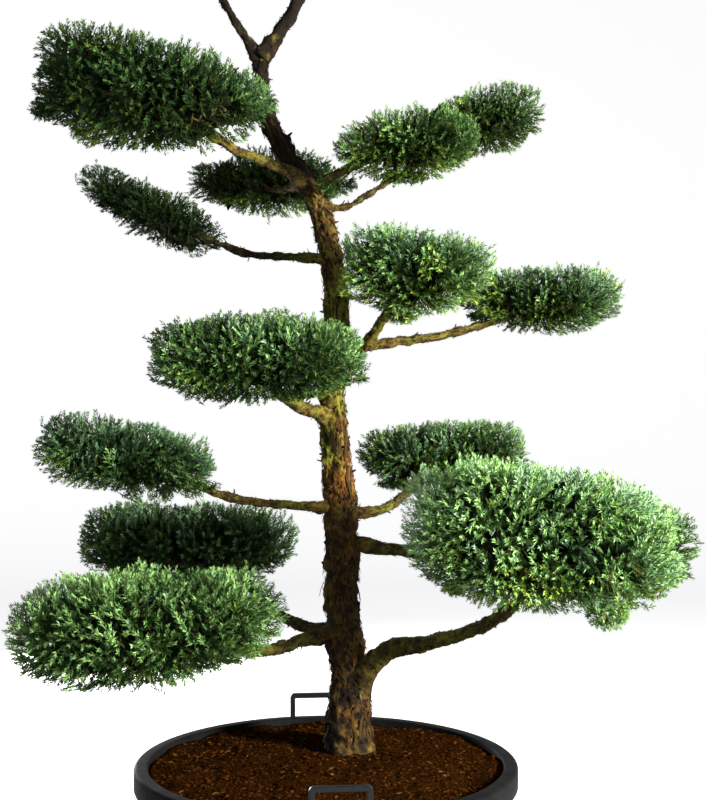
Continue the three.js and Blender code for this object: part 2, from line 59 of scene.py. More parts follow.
CAMERA = Table(place=(0.054, -2.8, 1.28), pitch=-0.62, lens=62.2)
STAGE = Table(
    floor=(0.5, 2, 4), flat=6.0, wall=9.0, top=16.0, bend_steps=13, segments=96, colour=(0.9, 0.9, 0.91),
    glow=0.72,
)
SKY = Table(colour=(0.95, 0.97, 1.0), strength=0.18)
LIGHTS = {
    "key": Table(place=(2.7, -2.1, 1.65), aim=(0.1, 0, 1.15), size=0.6, watts=400, colour=(1, 0.99, 0.95)),
    "fill": Table(place=(-0.6, -3.4, 2.2), aim=(0, 0, 1.0), size=2.5, watts=26, colour=(0.96, 0.98, 1)),
    "back": Table(place=(-1.9, 3.8, 0.75), aim=(0, 0, 1.3), size=1.0, watts=140, colour=(1, 1, 1)),
}

# The plant's driving dimensions, the same as the frame's

CLEARANCE = 0.3

POT = Table(
    height=518, base=306, neck=363, neck_in=2, lip=387, lip_drop=42, lip_round=7, lip_steps=7, hem=(1, 1.5),
    wall=4, fillet=6, ease=3, round_steps=5, draft=8, drain_holes=6, drain_radius=9, drain_circle=240,
    drain_sides=24, segments=144, sharp=35,
)
HANDLE = Table(
    width=114, bar=11, rise=55, depth=33, distance=369, turn=5.1, bend=4, bend_steps=7, straight=12,
    chamfer=1.3, boss_width=26, boss_inner=361, boss_outer=384.5, boss_floor=5,
)
HANDLE_SPOTS = {
    "handle_front": math.radians(-90 + HANDLE.turn),
    "handle_back": math.radians(90 + HANDLE.turn),
}
LEG_OFFSET = (HANDLE.width - HANDLE.bar) / 2
SOIL = Table(
    edge=507, crown=519.7, patch=84, gap=4 * CLEARANCE, under_rim=2, calm=(40, 90),
    waves=((5, 55, 3), (2.5, 17, 4)), rings=60, around=150, innermost=0.02,
)

TRUNK = Table(
    flare=0.16, flare_height=34, flare_lobes=5, lobe_share=0.4, waver=0.045, waver_turns=(38, 57),
    waver_sides=3,
)
TRUNK_PATH = [
    [46, 80, 520, 45.6], [46, 80, 585, 43.6], [47, 78, 664, 39.1], [33, 74, 787, 34.4],
    [31, 70, 917, 33], [27, 68, 1020, 32.2], [19, 66, 1146, 30.1], [11, 64, 1237, 27.1],
    [13, 62, 1332, 24.8], [21, 59, 1456, 23.8], [9, 56, 1542, 22.7], [-24, 52, 1663, 20.1],
    [-80, 50, 1747, 18.2], [-113, 50, 1811, 16.4], [-134, 50, 1873, 15], [-135, 50, 1923, 14.2],
    [-130, 50, 1960, 16.2],
]

BOUGH = Table(waver=0.05, waver_turns=21, waver_sides=2)
BOUGHS = {
    "low_left_front": [[27, 75, 767, 16], [-63, 8, 756, 12.2], [-111, -80, 757, 11.7],
                       [-175, -172, 779, 10.1]],
    "low_left_back": [[19, 80, 761, 13.5], [-68, 165, 768, 12], [-132, 225, 791, 12],
                      [-185, 268, 848, 10]],
    "low_right_front": [[52, 80, 622, 20.1], [81, 54, 686, 23.1], [125, 17, 737, 19.1],
                        [206, -65, 769, 15.1], [303, -170, 822, 11.7], [355, -236, 873, 10.7]],
    "low_right_back": [[37, 70, 952, 14], [130, 65, 939, 12.5], [261, 62, 929, 11.5],
                       [413, 74, 925, 10.5]],
    "lower_left": [[35, 68, 1023, 12], [-95, 15, 1037, 8.5], [-194, -20, 1054, 8.1],
                   [-289, -48, 1094, 7.1]],
    "lower_right_back": [[37, 72, 1014, 12], [111, 130, 1015, 9], [160, 192, 1038, 8.5],
                         [200, 250, 1079, 7.5]],
    "middle_left_front": [[9, 62, 1212, 16.1], [-47, -15, 1234, 11.6], [-89, -88, 1262, 9.6],
                          [-120, -140, 1292, 8.6]],
    "middle_right_back": [[27, 61, 1336, 12], [85, 52, 1360, 9.5], [236, 85, 1383, 8.5],
                          [353, 112, 1414, 7.5]],
    "middle_right_front": [[78, 52, 1358, 9], [100, 10, 1391, 8], [126, -40, 1433, 7.6],
                           [151, -80, 1474, 7.1]],
    "upper_left_back": [[3, 55, 1540, 10], [-64, 57, 1545, 7.5], [-161, 63, 1551, 6.5],
                        [-263, 78, 1589, 6]],
    "upper_right_front": [[-20, 52, 1669, 11.1], [9, 25, 1704, 8.6], [60, -10, 1723, 7.6],
                          [119, -40, 1738, 6.6]],
    "upper_right_back": [[-14, 52, 1653, 9], [31, 70, 1647, 6.5], [128, 130, 1710, 6],
                         [262, 165, 1794, 5.5]],
    "upper_back": [[-40, 51, 1686, 10], [-62, 110, 1699, 8], [-90, 190, 1704, 7.5],
                   [-116, 252, 1711, 7]],
    "high_left_front": [[-42, 50, 1698, 14.1], [-92, 10, 1722, 10.1], [-180, -75, 1744, 9.1],
                        [-250, -128, 1786, 8.1]],
    "leader": [[-135, 50, 1952, 15.6], [-86, 54, 2023, 13.3], [-48, 60, 2098, 11.2], [-4, 66, 2209, 10],
               [28, 62, 2287, 8.5]],
    "top_left": [[-137, 50, 1945, 11.1], [-174, 46, 2004, 7.5], [-214, 40, 2068, 7.5],
                 [-264, 28, 2135, 6]],
    "top_right_back": [[-38, 61, 2124, 8], [10, 92, 2149, 6.5], [90, 148, 2169, 6],
                       [176, 198, 2196, 5.5]],
}

MASS = Table(
    squareness=3.2, squareness_below=2.1, reach=34, reach_up=24, reach_down=24, lump=0.05,
    lump_turns=(3.1, 3.7, 2), core_points=42,
)
STEM = Table(length=34, twigs=5, twig_share=0.55, end_share=0.35, leave=0.5, droop=0.5, inset=1.8)
SPRAY = Table(few=6, per_square_metre=34, corner_share=0.9, facing=0.4, roll=3, direction_shake=0.5)

# Each mass: centre, half sizes along and across, rise and drop about the centre, tilt in degrees, the
# share by which it grows thinner towards +X, then how pale its sprays are, which partly paints the light
# and shade that the mass gets, paler where it is lit and darker where it lies in shade, and which shares
# of them are yellowish and bluish
MASSES = {
    "low_left_front": ([-320, -285, 827], [253, 199], 124, 97, 4.5, 0.12, 0.75, 0.35, 0.08),
    "low_left_back": ([-326, 325, 911], [255, 179], 111, 87, -1, 0, 0.4, 0.1, 0.4),
    "low_right_front": ([389, -338, 983], [253, 178], 164, 114, -7, 0.14, 1.35, 0.3, 0.3),
    "low_right_back": ([566, 92, 944], [207, 176], 116, 112, -4, 0, 0.35, 0.3, 0.2),
    "lower_left": ([-395, -62, 1130], [192, 156], 85, 77, -10, 0, 0.2, 0.2, 0.55),
    "lower_right_back": ([253, 330, 1113], [197, 159], 91, 83, 3, 0, 0.4, 0.35, 0.3),
    "middle_left_front": ([-127, -205, 1324], [208, 163], 98, 89, 0, 0, 0.35, 0.3, 0.2),
    "middle_right_back": ([451, 130, 1456], [174, 140], 78, 72, 0, 0, 0.25, 0.4, 0.4),
    "middle_right_front": ([175, -132, 1504], [159, 130], 86, 103, -3, 0.15, 0.95, 0.35, 0.3),
    "upper_left_back": ([-364, 92, 1639], [167, 115], 60, 60, -25, 0, -0.9, 0.3, 0.1),
    "upper_right_front": ([168, -62, 1751], [156, 119], 77, 77, 9, 0, 0.5, 0.5, 0.05),
    "upper_right_back": ([339, 180, 1841], [126, 104], 80, 74, 12, 0, 0.15, 0.4, 0.05),
    "upper_back": ([-136, 335, 1732], [188, 139], 77, 70, 0, 0, 0.35, 0.3, 0.2),
    "high_left_front": ([-322, -190, 1827], [240, 175], 105, 111, -9, 0.3, 0.05, 0.35, 0.25),
    "top_left": ([-302, 22, 2178], [137, 113], 81, 70, 0, 0, 0.3, 0.3, 0.3),
    "leader": ([62, 58, 2331], [189, 151], 105, 98, 4, 0, 0.35, 0.25, 0.3),
    "top_right_back": ([256, 236, 2223], [112, 98], 64, 60, 6, 0, 0.3, 0.3, 0.3),
}

# Sprigs that stand out of a mass's clipped outline: centre, half sizes, and their share of yellow
SPRIGS = {
    "upper_right_front": [([22, 18, 1690], [44, 26, 28], 0.2), ([157, -60, 1692], [50, 36, 14], 0.8)],
    "middle_left_front": [([-50, -190, 1263], [40, 34, 12], 0.6), ([72, -190, 1293], [16, 12, 9], 0.1)],
    "middle_right_front": [([147, -128, 1412], [34, 28, 18], 0.7)],
    "middle_right_back": [([323, 125, 1427], [32, 24, 12], 0.5)],
    "low_right_front": [([508, -340, 872], [42, 34, 32], 0.2), ([236, -320, 912], [22, 20, 14], 0.2)],
    "lower_left": [([-250, -50, 1078], [44, 34, 13], 0.4)],
    "lower_right_back": [([150, 320, 1056], [44, 34, 13], 0.4)],
    "upper_left_back": [([-245, 80, 1578], [30, 22, 9], 0.2)],
    "high_left_front": [([-528, -190, 1800], [28, 40, 24], 0.1)],
}

# Where a mass opens to the sky: centre, half sizes, and the share of its sprays that are missing there,
# which comes in between two distances from the centre, in half sizes
WINDOWS = {"high_left_front": ([-181, -190, 1768], [72, 260, 48], 0.8)}
WINDOW_EDGE = (1.15, 0.85)

# Curves: steps between two points of a path, rows where only the tip counts, and how far apart the spots
# lie that sprays keep clear of

CURVE_STEPS = 40
TIP_ROWS = 200
SPOT_STEP = 9

# Bark: how much finer than the frame the looks carry the same limbs, and the relief on them. The number of
# a limb's name, within a limit, is the seed of its noise

NOISE_SEEDS = 997
TRUNK_BARK = Table(row=3.2, around=68, relief=8.0, knob=6.5, fineness=1.0)
BOUGH_BARK = Table(row=3.4, around=22, relief=4.6, knob=3.4, fineness=0.55)
BARK = Table(
    knob_grain=17, proud=0.66, collar=0.3, collar_fade=24, blend=45, end_round=12, end_least=0.02,
    coarse=(10, 26), fine=(5, 11), plates=(15, 24), plate_edge=0.12, wander=0.5, wander_grains=9,
    middle=0.5, fibre_share=0.26, thread_share=0.24, plate_share=0.2,
)
FLAKES = Table(
    trunk=5200, per_metre=1800, length=(6, 18), width=(2.5, 6), lift=(1, 9), slim=0.55, sunk=0.6,
    up_share=0.4, splay=0.4,
)
STRIPS = Table(
    count=160, length=(28, 85), width=(3, 7.5), thick=0.9, lift=(2.0, 10.0), stations=7, span=(0.02, 0.93),
    flatter=1.5, up_share=0.5, drift=0.06, curl=3, off=0.4, end_width=0.35, swell=(0.12, 0.76),
    colours=(0, 1, 1, 1),
)
SPURS = Table(
    trunk=230, per_metre=44, length=(4, 15), radius=(1.6, 3.6), sides=5, trunk_span=(0.03, 0.97),
    bough_span=(0.12, 0.98), slim=0.7, sunk=1.5, shake=0.5, onward=0.7, shorter=0.5, taper=0.55,
)

# What grows on the bark, and the painted shade on it: for each kind its base, the share of its wide patches
# and their seed, and the share of the fine grain. shade takes the colour towards near black:
# it is painted shade where masses shadow the limbs, together with the bark's own darkness
GROWTH = {"rust": (0.9, 1.5, 11, 1), "moss": (0.7, 1.6, 12, 1), "lichen": (0.8, 1.5, 13, 0),
          "shade": (1, 0.5, 14, -0.6)}
GROWTH_PATCH = 60
GROWTH_GRAIN = Table(size=12, share=0.9, seed=5)

# The trunk's zones: the heights in metres over which each comes in, and over which it goes out, and how
# much of each kind grows there. The shade in the dark zone is the painted shadow that the low right front
# mass casts on the trunk; at the foot, low down and at the top it is painted shade with the bark's own
# darkness
LOWEST, HIGHEST = (-1, 0), (3, 4)
ZONES = {
    "all": (LOWEST, HIGHEST), "foot": (LOWEST, (0.54, 0.63)), "low": (LOWEST, (0.68, 0.80)),
    "dark": (LOWEST, (0.98, 1.08)), "red": ((0.54, 0.62), (1.08, 1.16)), "gold": ((1.06, 1.14), (1.5, 1.62)),
    "top": ((1.66, 1.78), HIGHEST),
}
TRUNK_GROWTH = {
    "rust": {"all": 0.12, "red": 0.7, "low": 0.9, "gold": 0.2},
    "moss": {"all": 0.15, "foot": 0.5, "gold": 0.5},
    "lichen": {"all": 0.05},
    "shade": {"dark": 0.6, "low": 0.15, "foot": 0.1, "top": 1.3},
}
# On a bough: rust, moss that grows more on its upper side, lichen, and its painted shade. The boughs below
# are painted darker, as shade where masses shadow them, with their own darker bark
BOUGH_GROWTH = Table(rust=0.05, moss=0.65, moss_above=0.5, above=(-0.2, 0.9), lichen=0.08, shade=0.25)
BOUGH_DARK_AND_PAINTED_SHADE = {"leader": 1.4, "top_left": 1.3, "top_right_back": 0.6, "upper_left_back": 1.1,
               "upper_right_back": 0.75, "low_left_back": 0.8, "low_right_back": 0.7}

# The layers of sprays in a mass, from its outline to its heart: how far apart they stand, how deep their
# tips lie as a share of the frame's reach, how long they are, what their leaves are like as shares of that
# length, how far they rise, and how much paler or darker they are. The inner layers are darker as painted
# shade, and the heart's broad dark sprays stand where there is only shade
LAYERS = {
    "plume": Table(
        spacing=14.4, inset=(-0.12, 0.15), length=(29, 45), prototypes=16, leaves=14, leaf=(0.35, 0.24),
        width=0.068, rise=(-0.1, 0.6), loose=1.0, tone=0,
    ),
    # The middle and the heart are darker, as painted shade inside the mass
    "middle": Table(
        spacing=25, inset=(0.6, 0.9), length=(42, 64), prototypes=5, leaves=13, leaf=(0.40, 0.24),
        width=0.085, rise=(-0.1, 0.6), loose=0.8, tone=-1.6,
    ),
    "heart": Table(
        spacing=30, inset=(1.4, 1.9), length=(52, 78), prototypes=4, leaves=11, leaf=(0.50, 0.26),
        width=0.34, rise=(-0.2, 0.4), loose=0.2, tone=-4,
    ),
}
# A spray's leaves: how they lean, spin and vary, and how their tones run from its foot to its tip
LEAVES = Table(
    lean=(0.95, 0.55), lean_shake=0.2, spin_shake=0.4, flat=0.62, leader=0.15, bow=0.12, waist=0.4,
    fold=0.35, crowd=0.75, first=0.1, length=(0.7, 1.25), width=(0.75, 1.25), tone=(-1.6, 2.5),
    tone_shake=0.35,
)
# Plumes lean with their tuft and shake; the outline swells and sinks in lobes and in smaller hollows
PLUME = Table(
    finer=400, limb_gap=9, stray=0.05, stray_reach=12, full_height=200, shake=0.9, tuft_lean=0.34,
    under=(0.8, -0.4, 0.4), under_from=(0.1, 0.7), sink=0.40, hollows=((21, 0.42, 85), (22, 0.56, 34)),
    foot_reach=110, foot_thin=0.6, foot_under=(0.2, -0.4),
)
TWIGLETS = Table(spacing=11, length=(24, 36), shake=0.5, tone=2.7, tone_shake=0.8)
TUFT = Table(
    spacing=58, inset=(2.1, 2.7), twig=(2.3, 1.1), twig_sides=4, main_sides=7, shoot=1.6, bend=7,
    full_bend=50, wood=(0.15, 1, 9),
)
CHIPS = Table(
    count=5000, length=(6, 19), width=(0.28, 0.62), thick=(0.12, 0.3), edge_gap=7, shorter=0.4, dip=0.28,
    roll=0.35, rise=0.35, uneven=(0.6, 1.25), skew=0.14,
)
SEEDS = Table(bark=41, foliage=7, chips=29)

# How pale a spray is, in tones, and what decides its family of greens. top makes the upper sprays paler as
# painted light; under and hollow make the sprays underneath and in the hollows darker as
# painted shade
TONE = Table(
    middle=3.4, pale=2.4, top=0.3, top_from=(-0.6, 0.7), under=0.7, under_from=(0.1, -0.5), hollow=2.3,
    tuft_shake=1.0, shake=0.6, tuft_chance=0.6, yellow=(0.2, 0.9, 2.2), blue=0.5,
)

# Plain colours, as linear light. Each family of greens runs through the same tones from dark to pale, its
# tint drifting from the first to the second

TONES = Table(count=8, darkest=0.010, step=1.72)
FAMILIES = {
    "green": ((0.37, 1.14, 0.11), (0.63, 1.08, 0.35)),
    "yellow": ((0.47, 1.15, 0.05), (0.76, 1.12, 0.18)),
    "blue": ((0.34, 1.12, 0.22), (0.65, 1.06, 0.53)),
}
TWIGS = {"twig_brown": (0.075, 0.048, 0.020), "twig_green": (0.110, 0.110, 0.025)}
BARK_BROWNS = {
    "dark": (0.014, 0.009, 0.004), "brown": (0.050, 0.028, 0.008), "rust": (0.105, 0.038, 0.007),
    "gold": (0.130, 0.086, 0.020), "moss": (0.095, 0.098, 0.011), "lichen": (0.080, 0.095, 0.040),
}
# A flake's chance: dark below the first, gold above the second, and how surely it takes what grows at its
# root
FLAKE_CHANCES = Table(dark=0.4, gold=0.88)
FLAKE_GROWN = {"rust": 0.85, "moss": 0.85, "lichen": 0.4}
CHIP_BROWNS = [(0.014, 0.005, 0.001), (0.034, 0.011, 0.002), (0.054, 0.017, 0.003), (0.078, 0.027, 0.005),
               (0.105, 0.050, 0.013)]
CHIP_SHARES = [0.34, 0.30, 0.21, 0.11, 0.04]

# Each finish: roughness and specular level

FINISHES = {
    "stage_white": (1.0, 0.0), "juniper_bark": (0.95, 0.12), "pot_plastic": (0.5, 0.04),
    "handle_steel": (0.45, 0.15), "soil_crumbs": (1.0, 0.0), "twig_brown": (0.9, 0.15),
    "twig_green": (0.8, 0.2), "bark_scrap": (0.95, 0.1), "needles": (0.75, 0.12), "chip": (1.0, 0.0),
}

# Grains of the materials: noise cells in a metre and detail

GRAINS = {
    "bark_wear": (210, 5), "bark_spots": (75, 3), "bark_skin": (170, 6), "pot_cloud": (9, 5),
    "pot_scuffs": (60, 6), "pot_dust": (26, 6), "pot_gloss": (34, 4), "pot_skin": (700, 2),
    "steel_worn": (48, 6), "steel_gloss": (90, 3), "steel_skin": (900, 2), "crumbs": (260, 6),
}
BARK_LOOK = Table(
    plain=(0.10, 0.06, 0.03), wear=0.28, spots_from=(0.6, 0.68), spots=(0.20, 0.23, 0.13, 1),
    # The near black of painted shade and of dark bark
    shade=(0.012, 0.009, 0.006, 1), bump=(0.004, 0.8), skin_rough=0.7,
    # The ramps follow the relief: near black in the crevices, which paints shade in them over the bark's own
    # colour, up to red-brown and gold on the ridges
    brown=[(0.2, (0.006, 0.004, 0.002)), (0.45, (0.030, 0.018, 0.005)), (0.68, (0.080, 0.050, 0.011)),
           (0.95, (0.165, 0.115, 0.026))],
    rust=[(0.2, (0.008, 0.004, 0.002)), (0.45, (0.046, 0.016, 0.003)), (0.72, (0.150, 0.058, 0.008)),
          (0.95, (0.250, 0.125, 0.022))],
    moss=[(0.2, (0.008, 0.009, 0.002)), (0.5, (0.062, 0.066, 0.007)), (0.9, (0.210, 0.205, 0.026))],
)
POT_LOOK = Table(
    plain=(0.006, 0.0065, 0.007), dark=(0.003, 0.0032, 0.0034, 1), pale=(0.006, 0.0064, 0.007, 1),
    scuffs_from=(0.6, 0.78), scuffs_along=(1, 1, 7), scuffs_share=0.4, scuffs=(0.026, 0.027, 0.029, 1),
    dust_from=(0.35, 0.75), dust=(0.036, 0.031, 0.026, 1), rough=(0.55, 0.80), bump=(0.0004, 0.35),
)
# Where dust lies on the pot: the heights in metres over which it changes, and how thick it is
DUST = Table(rim=(0.41, 0.513), rim_share=0.15, foot=(0.0, 0.08), foot_share=0.6)
STEEL_LOOK = Table(
    plain=(0.006, 0.006, 0.007), coat=(0.004, 0.004, 0.005, 1), worn=(0.024, 0.023, 0.022, 1),
    worn_from=(0.62, 0.74), worn_share=0.7, rough=(0.4, 0.6), bump=(0.0003, 0.4),
)
SOIL_LOOK = Table(
    plain=(0.015, 0.006, 0.002), bump=(0.004, 0.9),
    crumbs=[(0.3, (0.004, 0.002, 0.001)), (0.5, (0.018, 0.006, 0.001)), (0.64, (0.050, 0.017, 0.003)),
            (0.8, (0.090, 0.040, 0.010))],
)


# Numbers

WORD = 0xFFFFFFFF
STREAM_STEP = 0x6D2B79F5
HASH_MASK = 0x7FFFFFFF
HASH_PRIMES = np.array([73856093, 19349663, 83492791])
SEED_PRIME = 50331653
MIX_PRIME = 1274126177
VALUE_MASK = 0xFFFF
TINY = 1e-12


def random_stream(seed):
    """The frame's repeatable stream of numbers from 0 to 1."""
    state = seed & WORD
    while True:
        state = (state + STREAM_STEP) & WORD
        mixed = ((state ^ (state >> 15)) * (1 | state)) & WORD
        mixed = ((mixed + (((mixed ^ (mixed >> 7)) * (61 | mixed)) & WORD)) & WORD) ^ mixed
        yield (mixed ^ (mixed >> 14)) / (WORD + 1)


def seed_of(name):
    total = 7
    for letter in name:
        total = (total * 31 + ord(letter)) & WORD
    return total


def draws(stream, count):
    return np.array(list(itertools.islice(stream, count)))


def unit(vectors):
    return vectors / np.maximum(np.linalg.norm(vectors, axis=-1, keepdims=True), TINY)


def noise(points, seed):
    """Smooth noise from -1 to 1 at each point, whose coordinates are in units of the noise's grain."""
    cell = np.floor(points).astype(np.int64)
    part = points - cell
    ease = part * part * (3 - 2 * part)
    total = np.zeros(len(points))
    for corner in itertools.product((0, 1), repeat=3):
        mixed = np.bitwise_xor.reduce((cell + corner) * HASH_PRIMES, axis=1)
        mixed = (mixed ^ (seed * SEED_PRIME)) & HASH_MASK
        mixed = ((mixed ^ (mixed >> 13)) * MIX_PRIME) & HASH_MASK
        value = ((mixed ^ (mixed >> 16)) & VALUE_MASK) / (VALUE_MASK / 2) - 1
        total += value * np.prod(np.where(corner, ease, 1 - ease), axis=1)
    return total


def smoothstep(low, high, value):
    share = np.clip((value - low) / (high - low), 0, 1)
    return share * share * (3 - 2 * share)


def shaken(random, size, shape):
    """Random numbers up to a size, either way."""
    return random.uniform(-size, size, shape)


def even_angles(count):
    return np.linspace(0, TURN, count, endpoint=False)


# Meshes

def tube_faces(rows, around):
    """Triangles of a tube of vertex rings, closed by two end points that come after the rings."""
    ring = np.arange(around)
    after = (ring + 1) % around
    starts = (np.arange(rows - 1) * around)[:, None]
    low, low_next = starts + ring, starts + after
    high, high_next = low + around, low_next + around
    sides = np.stack([low, low_next, high_next, low, high_next, high], axis=-1).reshape(-1, 3)
    foot, head = rows * around, rows * around + 1
    last = (rows - 1) * around
    foot_cap = np.stack([np.full(around, foot), after, ring], axis=-1)
    head_cap = np.stack([np.full(around, head), last + ring, last + after], axis=-1)
    return np.vstack([sides, foot_cap, head_cap])


def rings(profile, segments):
    """A ring of points about +Z for each (radius, height) of a profile."""
    angles = even_angles(segments)
    return [np.stack([r * np.cos(angles), r * np.sin(angles), np.full(segments, z)], axis=1)
            for r, z in profile]


def new_mesh(name, vertices, faces, materials, numbers=None, smooth=False):
    mesh = bpy.data.meshes.new(name)
    mesh.vertices.add(len(vertices))
    mesh.vertices.foreach_set("co", vertices.astype(np.float32).ravel())
    mesh.loops.add(faces.size)
    mesh.loops.foreach_set("vertex_index", faces.astype(np.int32).ravel())
    mesh.polygons.add(len(faces))
    mesh.polygons.foreach_set("loop_start", np.arange(0, faces.size, faces.shape[1], dtype=np.int32))
    for material in materials:
        mesh.materials.append(material)
    if numbers is not None:
        mesh.polygons.foreach_set("material_index", numbers.astype(np.int32))
    mesh.polygons.foreach_set("use_smooth", np.full(len(faces), smooth))
    mesh.update(calc_edges=True)
    return mesh


def new_object(mesh):
    made = bpy.data.objects.new(mesh.name, mesh)
    bpy.context.scene.collection.objects.link(made)
    return made


def declare(piece, slot, *replaced):
    """Makes an object a piece of the plant that stands for the frame's nodes of those names."""
    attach(piece, BODY)
    if replaced:
        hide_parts(*replaced)


def joined_piece(name, parts, materials, slot, *replaced):
    """A piece from many parts, each of vertices, faces and the numbers of the faces' materials."""
    starts = np.cumsum([0] + [len(part[0]) for part in parts])
    vertices = np.vstack([part[0] for part in parts])
    faces = np.vstack([part[1] + start for part, start in zip(parts, starts)])
    numbers = np.concatenate([np.broadcast_to(part[2], len(part[1])) for part in parts])
    declare(new_object(new_mesh(name, vertices, faces, materials, numbers)), slot, *replaced)


def repeated(points, faces):
    """Copies of one shape's faces for an array of copies of its points."""
    count, size = points.shape[:2]
    starts = (np.arange(count) * size)[:, None, None]
    return points.reshape(-1, 3), (faces[None] + starts).reshape(-1, 3)


def give_attribute(mesh, name, values):
    layer = mesh.attributes.new(name, "FLOAT", "POINT")
    layer.data.foreach_set("value", np.asarray(values, np.float32))


# Materials

def principled(name, colour, finish):
    roughness, specular = FINISHES[finish]
    material = bpy.data.materials.new(name)
    material.use_nodes = True
    shader = material.node_tree.nodes["Principled BSDF"]
    shader.inputs["Base Color"].default_value = (*colour, 1)
    shader.inputs["Roughness"].default_value = roughness
    shader.inputs["Specular IOR Level"].default_value = specular
    material.diffuse_color = (*colour, 1)
    return material


class Nodes:
    """A material with short ways to add and link its nodes."""

    MIX_FIRST, MIX_SECOND, MIX_RESULT = 6, 7, 2  # a mix node's colour sockets

    def __init__(self, name, colour):
        self.material = principled(name, colour, name)
        self.tree = self.material.node_tree
        self.shader = self.tree.nodes["Principled BSDF"]

    def put(self, socket, value):
        if isinstance(value, bpy.types.NodeSocket):
            self.tree.links.new(value, socket)
        else:
            socket.default_value = value

    def add(self, kind, **inputs):
        node = self.tree.nodes.new(kind)
        for name, value in inputs.items():
            self.put(node.inputs[name], value)
        return node

    def grain(self, name, stretch=(1, 1, 1), rough=0.55):
        scale, detail = GRAINS[name]
        place = self.add("ShaderNodeTexCoord").outputs["Object"]
        mapping = self.add("ShaderNodeMapping", Vector=place, Scale=stretch)
        texture = self.add("ShaderNodeTexNoise", Vector=mapping.outputs[0], Scale=scale, Detail=detail,
                           Roughness=rough)
        return texture.outputs["Fac"]

    def attribute(self, name):
        node = self.tree.nodes.new("ShaderNodeAttribute")
        node.attribute_name = name
        return node.outputs["Fac"]

    def ramp(self, value, stops):
        node = self.add("ShaderNodeValToRGB", Fac=value)
        elements = node.color_ramp.elements
        while len(elements) < len(stops):
            elements.new(0.5)
        for element, (place, colour) in zip(elements, stops):
            element.position = place
            element.color = (*colour, 1)
        return node.outputs["Color"]

    def step(self, value, limits):
        """0 below the first limit, 1 above the second, and smooth between."""
        node = self.add("ShaderNodeMapRange", Value=value)
        node.interpolation_type = "SMOOTHSTEP"
        node.inputs["From Min"].default_value, node.inputs["From Max"].default_value = limits
        return node.outputs["Result"]

    def mix(self, share, first, second):
        node = self.tree.nodes.new("ShaderNodeMix")
        node.data_type = "RGBA"
        self.put(node.inputs["Factor"], share)
        self.put(node.inputs[self.MIX_FIRST], first)
        self.put(node.inputs[self.MIX_SECOND], second)
        return node.outputs[self.MIX_RESULT]

    def math(self, operation, first, second):
        node = self.tree.nodes.new("ShaderNodeMath")
        node.operation = operation
        self.put(node.inputs[0], first)
        self.put(node.inputs[1], second)
        return node.outputs[0]

    def range(self, value, low, high):
        """A value from 0 to 1 as one from low to high."""
        return self.math("ADD", self.math("MULTIPLY", value, high - low), low)

    def finish(self, colour, bump, skin, rough=None):
        """Links the colour, the bump of a skin and a roughness, and gives the material."""
        distance, strength = bump
        self.put(self.shader.inputs["Base Color"], colour)
        if rough is not None:
            self.put(self.shader.inputs["Roughness"], rough)
        node = self.add("ShaderNodeBump", Height=skin, Distance=distance, Strength=strength)
        self.put(self.shader.inputs["Normal"], node.outputs["Normal"])
        return self.material


def bark_material():
    """Crevices near black, which paints shade in them over the bark's colour, ridges from red-brown to gold,
    with moss and lichen on some, and painted shade where masses shadow the limbs, with the bark's own
    darkness, most up the tree.
    """
    look = BARK_LOOK
    nodes = Nodes("juniper_bark", look.plain)
    wear = nodes.range(nodes.grain("bark_wear"), -look.wear, look.wear)
    height = nodes.math("ADD", nodes.attribute("relief"), wear)
    # Near black where the relief is low: painted shade in the crevices over the bark's own colour
    colour = nodes.ramp(height, look.brown)
    for kind, stops in (("rust", look.rust), ("moss", look.moss)):
        colour = nodes.mix(nodes.attribute(kind), colour, nodes.ramp(height, stops))
    spots = nodes.step(nodes.grain("bark_spots"), look.spots_from)
    spots = nodes.math("MULTIPLY", spots, nodes.attribute("lichen"))
    colour = nodes.mix(spots, colour, look.spots)
    # Painted shade: towards near black where masses shadow the limb, together with the bark's own darkness
    colour = nodes.mix(nodes.attribute("shade"), colour, look.shade)
    return nodes.finish(colour, look.bump, nodes.grain("bark_skin", rough=look.skin_rough))


def pot_material():
    """Black moulded plastic with a dull skin, fine scuffs and dust towards the rim and round the foot."""
    look = POT_LOOK
    nodes = Nodes("pot_plastic", look.plain)
    colour = nodes.mix(nodes.grain("pot_cloud"), look.dark, look.pale)
    scuffs = nodes.step(nodes.grain("pot_scuffs", look.scuffs_along), look.scuffs_from)
    colour = nodes.mix(nodes.math("MULTIPLY", scuffs, look.scuffs_share), colour, look.scuffs)
    dust = nodes.step(nodes.grain("pot_dust"), look.dust_from)
    colour = nodes.mix(nodes.math("MULTIPLY", nodes.attribute("dust"), dust), colour, look.dust)
    rough = nodes.range(nodes.grain("pot_gloss"), *look.rough)
    return nodes.finish(colour, look.bump, nodes.grain("pot_skin"), rough)


def steel_material():
    """Black powder coat with its fine orange peel, rubbed grey in places."""
    look = STEEL_LOOK
    nodes = Nodes("handle_steel", look.plain)
    worn = nodes.step(nodes.grain("steel_worn"), look.worn_from)
    colour = nodes.mix(nodes.math("MULTIPLY", worn, look.worn_share), look.coat, look.worn)
    rough = nodes.range(nodes.grain("steel_gloss"), *look.rough)
    return nodes.finish(colour, look.bump, nodes.grain("steel_skin"), rough)


def soil_material():
    """Dark crumbs between the chips of bark."""
    nodes = Nodes("soil_crumbs", SOIL_LOOK.plain)
    crumbs = nodes.grain("crumbs")
    return nodes.finish(nodes.ramp(crumbs, SOIL_LOOK.crumbs), SOIL_LOOK.bump, crumbs)


# Camera, stage and lights

